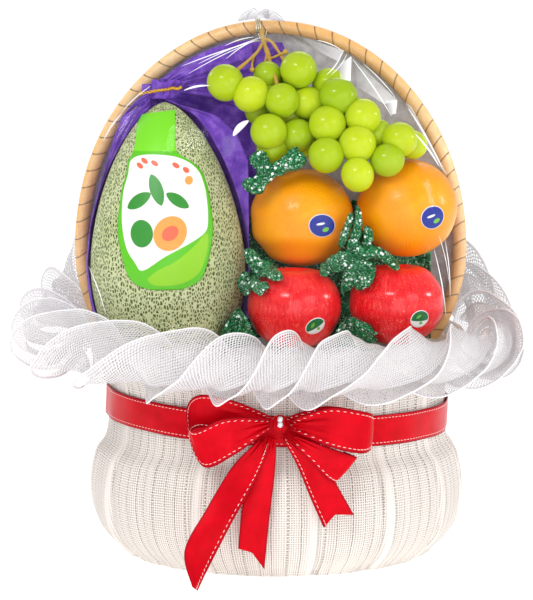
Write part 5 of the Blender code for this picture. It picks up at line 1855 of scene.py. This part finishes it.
TULLE_PIECES = {
    "top": (Frond(((-4, 311), (-12, 304), (-21, 294)), (4.7, 4.7, 3.1)),
            Frond(((-18, 323), (-12, 314), (-7, 305)), (6.2, 7.0, 3.9)),
            Frond(((-7, 305), (5, 313), (22, 319)), (3.1, 6.2, 7.0)),
            Frond(((-27, 300), (-18, 297), (-10, 294)), (3.9, 6.2, 3.9)),
            Frond(((-14, 296), (0, 311), (16, 327)), (2.9, 3.2, 3.2))),
    "left": (Frond(((-24, 230), (-26, 222), (-25, 213)), (3.1, 4.7, 3.9)),
             Frond(((-21, 226), (-15, 221), (-7, 224)), (3.9, 4.7, 3.1)),
             Frond(((-24, 248), (-18, 238), (-14, 228)), (3.9, 5.4, 3.9)),
             Frond(((-17, 238), (-7, 233), (4, 229)), (4.7, 4.7, 3.1))),
    "strip": (Frond(((58, 276), (54, 263), (49, 249)), (2.3, 3.1, 3.1)),
              Frond(((69, 266), (71, 257), (69, 248)), (2.3, 3.9, 3.1)),
              Frond(((62, 282), (63, 269), (60, 255), (56, 244)), (1.9, 3.1, 4.3, 4.7))),
    "knot": (Frond(((67, 241), (60, 230), (51, 214)), (8.5, 7.8, 3.1)),
             Frond(((61, 243), (49, 238), (33, 231)), (4.7, 7.0, 3.9)),
             Frond(((72, 238), (69, 227), (61, 218)), (4.7, 5.4, 3.1)),
             Frond(((67, 246), (80, 244), (94, 234)), (3.9, 4.7, 3.1)),
             Frond(((59, 249), (69, 245), (78, 248)), (3.9, 5.4, 3.9))),
    "low_left": (Frond(((-35, 194), (-38, 183), (-42, 171)), (3.1, 5.4, 5.4)),
                 Frond(((-31, 201), (-29, 191), (-27, 172)), (3.9, 7.8, 13.2))),
    "low_middle": (Frond(((60, 192), (61, 181), (61, 161)), (7.8, 15.5, 18.6)),
                   Frond(((47, 183), (57, 190), (74, 185)), (3.9, 5.4, 4.7))),
}


@dataclass(frozen=True)
class TulleFill:
    """Glitter tulle in the gaps between the fruit, folded in strips, and a dark fill behind it."""

    melon: Melon
    bed: float = -64.0
    margin: float = 3.0
    lift: float = 1.6
    flakes: int = 26
    bright: int = 5

    def fruit_front(self, x: Array, z: Array) -> Array:
        """y of the foremost orange, apple or melon in the front view, or of the open gap."""
        front = np.full(np.shape(x), self.bed)
        fruits = [(fruit.centre, fruit.radius, fruit.squash) for fruit in (*ORANGES, *APPLES)]
        fruits.append((self.melon.centre, self.melon.radius, self.melon.top / self.melon.radius))
        for centre, radius, stretch in fruits:
            inside = radius ** 2 - (x - centre[0]) ** 2 - ((z - centre[2]) / stretch) ** 2
            front = np.minimum(front, np.where(inside > 0, centre[1] - np.sqrt(np.maximum(inside, 0)), 0))
        return front

    def draped(self, x: Array, z: Array) -> Array:
        """Foremost fruit near a point, so that a piece laid there clears it."""
        turns = np.arange(8) / 8 * TAU
        around = [self.fruit_front(x + self.margin * math.cos(turn), z + self.margin * math.sin(turn))
                  for turn in turns]
        return np.minimum.reduce([self.fruit_front(x, z), *around])

    def build(self) -> None:
        """Make each piece from its strips, with loose flakes and a few bright ones on it."""
        spots, sizes = [], []
        for index, (name, fronds) in enumerate(TULLE_PIECES.items()):
            draw = np.random.default_rng(index)
            strips = []
            for order, frond in enumerate(fronds):
                lift, seed = self.lift + 1.1 * order, index * 10 + order
                strips.append(surface("frond", 26, 44,
                                      lambda u, v: frond.place(u, v, self.draped, lift, seed)))
                u, v = draw.uniform(0.12, 0.88, (2, self.flakes))
                spots.append(frond.place(u, v, self.draped, lift, seed) - (0, 0.5, 0))
                size = draw.uniform(0.25, 0.55, self.flakes)
                size[:self.bright] = draw.uniform(0.85, 1.25, self.bright)
                sizes.append(size)
            net = thicken(join("tulle_net_" + name, strips), 0.3)
            dress(net, TULLE, "tulle", "tulle_" + name)
            area = sum(width * length for width, length in (frond.size() for frond in fronds))
        places, size = np.vstack(spots), np.concatenate(sizes)
        frames = random_frames(6, size[:, None] * np.array((1.0, 0.2, 1.0)))
        facing = size > 0.8
        frames[facing] = np.eye(3) * size[facing, None, None] * (1.0, 0.3, 1.0)
        flakes = many("glitter_flakes", ball(8, 5), frames, places)
        dress(flakes, FLAKE, "tulle")
        self.build_fill()

    def build_fill(self) -> None:
        """Crumpled dark tulle that fills the space between and behind the round fruit."""
        waves = random_waves(90, (2, 9), 2.2, 8)

        def place(u: Array, v: Array) -> Array:
            x, z = -24 + 146 * u, 171 + 112 * v - 14 * np.abs(2 * u - 1) * v
            return stack(x, -14 + ripple(u * 5 + v * 2, waves) + ripple(v * 5 - u, waves[::-1]), z)

        fill = thicken(surface("tulle_fill", 60, 50, place), 0.3)
        dress(fill, TULLE, "tulle")


# Lining and film


@dataclass(frozen=True)
class Wrap:
    """Grey lining behind the fruit and the clear film over the front."""

    hoop: Hoop
    foot: float = 169.0
    bulge: float = 18.0
    behind: float = 6.6
    tuck: float = 2.0
    film_edge: float = 10.5
    film_bulge: float = 125.0
    film_over: float = 2.5
    crown: float = 2.4
    film_foot: float = 179.0
    film_tuck: float = 17.0
    film_widest: float = 200.0
    film_top: float = 416.0
    corners: tuple[float, float] = (2.5, 3.2)
    tuft_from: float = 0.87
    tuft_x: float = -12.0
    tuft_half: float = 17.0
    tuft_foot: float = 419.0
    tuft_top: float = 430.0
    tuft_front: float = 8.5
    narrow_from: float = 400.0
    narrow_over: float = 16.0
    skin_gap: float = 1.6
    sliver_lift: float = 1.6
    pane_step: float = 0.4

    def lining_point(self, u: Array, v: Array) -> Array:
        """Point on the lining: u across, v up."""
        top = self.hoop.widest + self.hoop.rise - self.tuck
        height = mix(self.foot, top, np.sin(v * PI / 2))
        half = self.hoop.half_at(height, self.tuck)
        across = 2 * u - 1
        bow = (1 - across * across) * (1 - ease((height - 300) / 120))
        crumple = (ripple(u * 5 + v * 2, random_waves(41, (2, 6), 0.7, 5))
                   + ripple(v * 6 - u, random_waves(42, (2, 5), 0.6, 5))) * (1 - across ** 4)
        depth = self.hoop.y + self.behind + self.bulge * bow + crumple
        return stack(self.hoop.x + across * half, depth, height)

    def film_depth(self, height: Array) -> Array:
        """How far the film stands in front of the middle at a height."""
        low = np.maximum(self.film_widest - height, 0) / (self.film_widest - self.film_foot)
        high = np.clip((height - self.film_widest) / (self.film_top - self.film_widest), 0, 0.999)
        return np.where(height < self.film_widest, self.film_bulge + self.film_tuck * low ** 1.5,
                        self.film_bulge * (1 - high ** self.crown) ** (1 / self.crown))

    def film_half(self, height: Array) -> tuple[Array, Array]:
        """The film's half width at a height, and the power that shapes its section."""
        half = np.maximum(self.hoop.half_at(height, -self.film_over), self.tuft_half + 3)
        low, high = self.corners
        return half, 2 / mix(low, high, ease((height - self.film_foot) / 15))

    def film_middle(self, height: Array) -> Array:
        """x of the film's middle at a height."""
        return mix(self.hoop.x, self.tuft_x, ease((height - self.narrow_from) / self.narrow_over))

    def film_front(self, x: Array, height: Array) -> Array:
        """y of the film in the front view."""
        half, power = self.film_half(height)
        cosine = np.clip(np.abs(x - self.film_middle(height)) / half, 0, 1) ** (1 / power)
        depth = self.film_depth(height) + self.film_edge
        return self.film_edge - depth * np.sqrt(1 - cosine ** 2) ** power

    def film_point(self, u: Array, v: Array) -> Array:
        """Point on the film: u from left to right, v from its tucked foot to its tuft."""
        share = np.minimum(v / self.tuft_from, 1.0)
        turn = PI * (1 - u)
        height = mix(self.film_foot, self.tuft_foot - 6, np.sin(share * PI / 2))
        half, power = self.film_half(height)
        x = self.film_middle(height) + half * signed_power(np.cos(turn), power)
        y = self.film_edge - (self.film_depth(height) + self.film_edge) * np.sin(turn) ** power
        radial = ripple(u * TAU, random_waves(51, (7, 22), 0.9, 8)) * ease((v - 0.15) / 0.5)
        broad = ripple(u * 9 + v * 5, random_waves(52, (1, 3), 1.1, 5)) * np.sin(u * PI)
        front = stack(x, y + (radial + broad) * np.sin(u * PI), height)
        rise = np.clip((v - self.tuft_from) / (1 - self.tuft_from), 0, 1)
        spread = self.tuft_half * (1 + 0.15 * (1 - rise))
        wave = (6 + 1.5 * np.sin(u * 2.5 * TAU) + 1.2 * np.sin(u * 7 * TAU + 1)) * np.sin(u * PI)
        crown = 2.5 * np.cos(u * 2 * TAU) * rise + 1.2 * np.sin(u * 5 * TAU) * rise
        tuft = stack(self.tuft_x + spread * (2 * u - 1), self.film_edge - 1 - wave,
                     mix(self.tuft_foot, self.tuft_top, rise) + crown)
        into = ease((v - self.tuft_from + 0.03) / 0.03)[:, None]
        return mix(front, tuft, into)

    def build(self) -> None:
        """Make the lining, the film, and the painted highlights and shade on the film."""
        lining = thicken(surface("lining_sheet", 110, 100, self.lining_point, Edge.OPEN, (290, 240)), 0.5)
        dress(lining, LINING, "lining", "back_lining")
        film = surface("film_wrap", 260, 220, self.film_point, Edge.OPEN, (480, 320))
        dress(film, FILM, "film", "film")
        self.build_painted_film_marks()

    def build_painted_film_marks(self) -> None:
        """Painted highlights: bright narrow lines along the film's folds and broad patches where it faces a
        light; and painted grey shade on the gathered tuft above the hoop.
        """
        creases = (
            (-75, 389, -14, 409, 0.9), (-69, 384, -21, 407, 0.7), (-62, 391, -12, 411, 0.8),
            (-72, 372, -52, 376, 1.6), (-34, 339, -22, 350.5, 4.6), (-40, 395, -17, 409, 0.7),
            (-41, 404.5, -18, 411, 0.7), (30, 408.5, 51, 400.5, 0.6), (57, 396, 88, 352, 0.9),
            (66, 391.5, 92.5, 364, 0.6), (50.5, 399.5, 37.5, 383.5, 0.8), (54.5, 399, 41, 383.5, 0.6),
            (101, 357.5, 128, 310.5, 1.2), (106, 338.5, 125.5, 312, 1.4), (120, 252, 131, 196, 0.8),
            (129, 258, 134, 211, 0.7), (124, 262, 133, 222, 0.5), (-146, 236, -132, 199, 0.9),
            (-136, 330, -121, 352, 1.2), (-122, 352, -98, 374, 0.8))
        # painted highlights along the film's folds
        self.slivers("film_crease_highlights", creases, CREASE_HIGHLIGHT, 0.6)
        # painted highlights where the film faces a light
        self.panes("film_sheen", (((92.8, 363.3), (59.9, 394.4), (61.2, 374.8), (82.2, 361.3)),
                                  ((52.3, 400.5), (19, 411), (29.5, 401.8), (47, 393.3)),
                                  ((104, 358), (98, 362), (126, 311), (132, 305))), SHEEN)
        self.panes("film_glare", (((57.6, 396.5), (47.8, 391), (48, 381), (56.3, 378.8)),
                                  ((92.8, 363.3), (82.9, 364), (87, 353), (91.1, 354.1))), GLARE)
        # painted grey shade on the tuft of gathered film above the hoop
        self.panes("film_gather_shade", (((-31.5, 421), (-20.2, 431.2), (-16.4, 429), (-16, 423.5)),
                                    ((-6, 430.2), (-17, 429.4), (-16, 423.5), (-7, 423.5)),
                                    ((7, 420.5), (-6, 430.2), (-12.5, 428), (-9, 423))), GATHER_SHADE)
        self.slivers("film_tuft_shade", ((-31, 421.5, -20.5, 431, 0.7), (-24, 422, -19.5, 430, 0.6),
                                   (-20.5, 431, -16, 429, 0.8), (-16, 424, -12, 428, 0.6),
                                   (-12, 429, -6.5, 430.2, 0.7), (-6, 430, 6, 421.5, 0.7),
                                   (-7, 423.5, -3, 427.5, 0.6)), FOLD_SHADE, 0.5)

    def skin(self, x: Array, height: Array) -> Array:
        """y just in front of the film, and of its tuft above the hoop."""
        return np.where(height < self.tuft_foot, self.film_front(x, height) - self.skin_gap,
                        self.film_edge - self.tuft_front)

    def panes(self, name: str, rows: Sequence[Points], finish: Finish) -> None:
        """Make flat patches laid on the film, painted highlights where it faces a light and painted shade
        on its tuft, each from its corners' x and z, brightest first.
        """
        pieces = []
        for index, corners in enumerate(rows):
            def place(u: Array, v: Array) -> Array:
                first, second, third, fourth = np.array(corners, float)
                flat = ((first + (second - first) * u[:, None]) * (1 - v[:, None])
                        + (fourth + (third - fourth) * u[:, None]) * v[:, None])
                return stack(flat[:, 0], self.skin(flat[:, 0], flat[:, 1]) - self.pane_step * index,
                             flat[:, 1])
            pieces.append(surface("pane", 10, 10, place, marks={"clear": lambda u, v: 0.8 * u}))
        dress(join(name, pieces), finish, "film")

    def slivers(self, name: str, rows: Sequence[tuple[float, ...]], finish: Finish, power: float) -> None:
        """Make tapered slivers on the film, painted highlights along its folds and painted shade on its
        tuft, each from one point to another with a width.

        Args:
            name: the piece's name.
            rows: for each sliver x and z of both ends and the width.
            finish: their finish.
            power: how blunt their ends are, less for blunter ones.
        """
        pieces = []
        for x1, z1, x2, z2, width in rows:
            def place(u: Array, v: Array) -> Array:
                x, z = mix(x1, x2, v), mix(z1, z2, v)
                away = np.array((z1 - z2, x2 - x1)) / math.hypot(x2 - x1, z2 - z1)
                half = (u - 0.5) * width * np.sin(v * PI) ** power
                bend = 1.2 * np.sin(v * PI)
                x, z = x + away[0] * (half + bend), z + away[1] * (half + bend)
                return stack(x, self.skin(x, z) - self.sliver_lift, z)
            pieces.append(surface("sliver", 6, 40, place))
        dress(join(name, pieces), finish, "film")


# Studio


@dataclass(frozen=True)
class Studio:
    """Plain pale floor, soft light and the camera."""

    distance: float = 2600.0
    elevation: float = math.radians(7.5)
    target: Triple = (-8.4, 0.0, 198.9)
    lens: float = 195.0
    floor: float = 5e4

    def build(self) -> None:
        """Make the floor, the lights, the sky and the camera."""
        scene = bpy.context.scene
        floor = surface("studio_floor", 2, 2,
                        lambda u, v: stack((u - 0.5) * self.floor, (v - 0.5) * self.floor, 0 * u - 0.3))
        floor.data.materials.append(LitFloor("lit white studio floor", "#fbfbfb", 0.9).material())
        world = bpy.data.worlds.new("studio")
        world.use_nodes = True
        wire(world.node_tree.nodes["Background"], {"Color": "#ffffff", "Strength": 0.62})
        scene.world = world
        self.softbox("key", (-0.85, -1.8, 1.75), 0.9, 19, 0.5)
        self.softbox("fill", (1.6, -1.5, 0.9), 1.1, 8)
        self.softbox("front", (0.2, -2.4, 0.3), 1.4, 10)
        self.softbox("back", (0.3, 1.8, 1.9), 1.2, 8)
        self.softbox("left rim", (-1.43, 1.09, 1.14), 0.3, 3)
        self.softbox("right rim", (1.9, 0.0, 0.77), 0.3, 6)
        camera = bpy.data.objects.new("camera", bpy.data.cameras.new("camera"))
        camera.data.lens = self.lens
        camera.data.sensor_fit = "VERTICAL"
        camera.data.sensor_height = 36.0
        reach = Vector((0, -math.cos(self.elevation), math.sin(self.elevation))) * self.distance
        camera.location = (Vector(self.target) + reach) * MM
        camera.rotation_euler = (PI / 2 - self.elevation, 0, 0)
        scene.collection.objects.link(camera)
        scene.camera = camera
        scene.view_settings.view_transform = "Standard"
        scene.cycles.transparent_max_bounces = 32

    def softbox(self, name: str, place: Triple, size: float, power: float, tall: float = 1.0) -> None:
        """Soft light aimed at the basket's middle: place and width in metres, and its height as a share."""
        lamp = bpy.data.lights.new(name, "AREA")
        lamp.shape = "RECTANGLE"
        lamp.size, lamp.size_y = size, size * tall
        lamp.energy = power
        obj = bpy.data.objects.new(name, lamp)
        obj.location = place
        aim = Vector((0, 0, 0.2)) - Vector(place)
        obj.rotation_euler = aim.to_track_quat("-Z", "Y").to_euler()
        bpy.context.scene.collection.objects.link(obj)


def main() -> None:
    """Build the scene in order."""
    logging.basicConfig(level=logging.INFO, format="%(name)s: %(message)s")
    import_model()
    Studio().build()
    hoop, melon = Hoop(), Melon()
    ClothBasket().build()
    hoop.build()
    MeshGarland().build()
    Ribbon().build()
    melon.build()
    MelonLabel(melon).build()
    MelonCloth(melon, hoop).build()
    for fruit in ORANGES:
        fruit.build(PEEL, "orange")
    for fruit in APPLES:
        fruit.build(APPLE, "apple")
    ORANGES[0].sticker(35, 266, 23.5, 18.5, -10, BLUE_FILM, "sticker_blue")
    ORANGES[1].sticker(121, 272, 21.5, 19, 0, BLUE_FILM, "sticker_blue")
    APPLES[0].sticker(30, 190, 18, 16, 35, GREEN_FILM, "sticker_green")
    APPLES[1].sticker(111, 194, 17, 17, 0, GREEN_FILM, "sticker_green")
    Grapes().build()
    build_stem_tie(hoop)
    TulleFill(melon).build()
    Wrap(hoop).build()


if __name__ == "__main__":
    main()
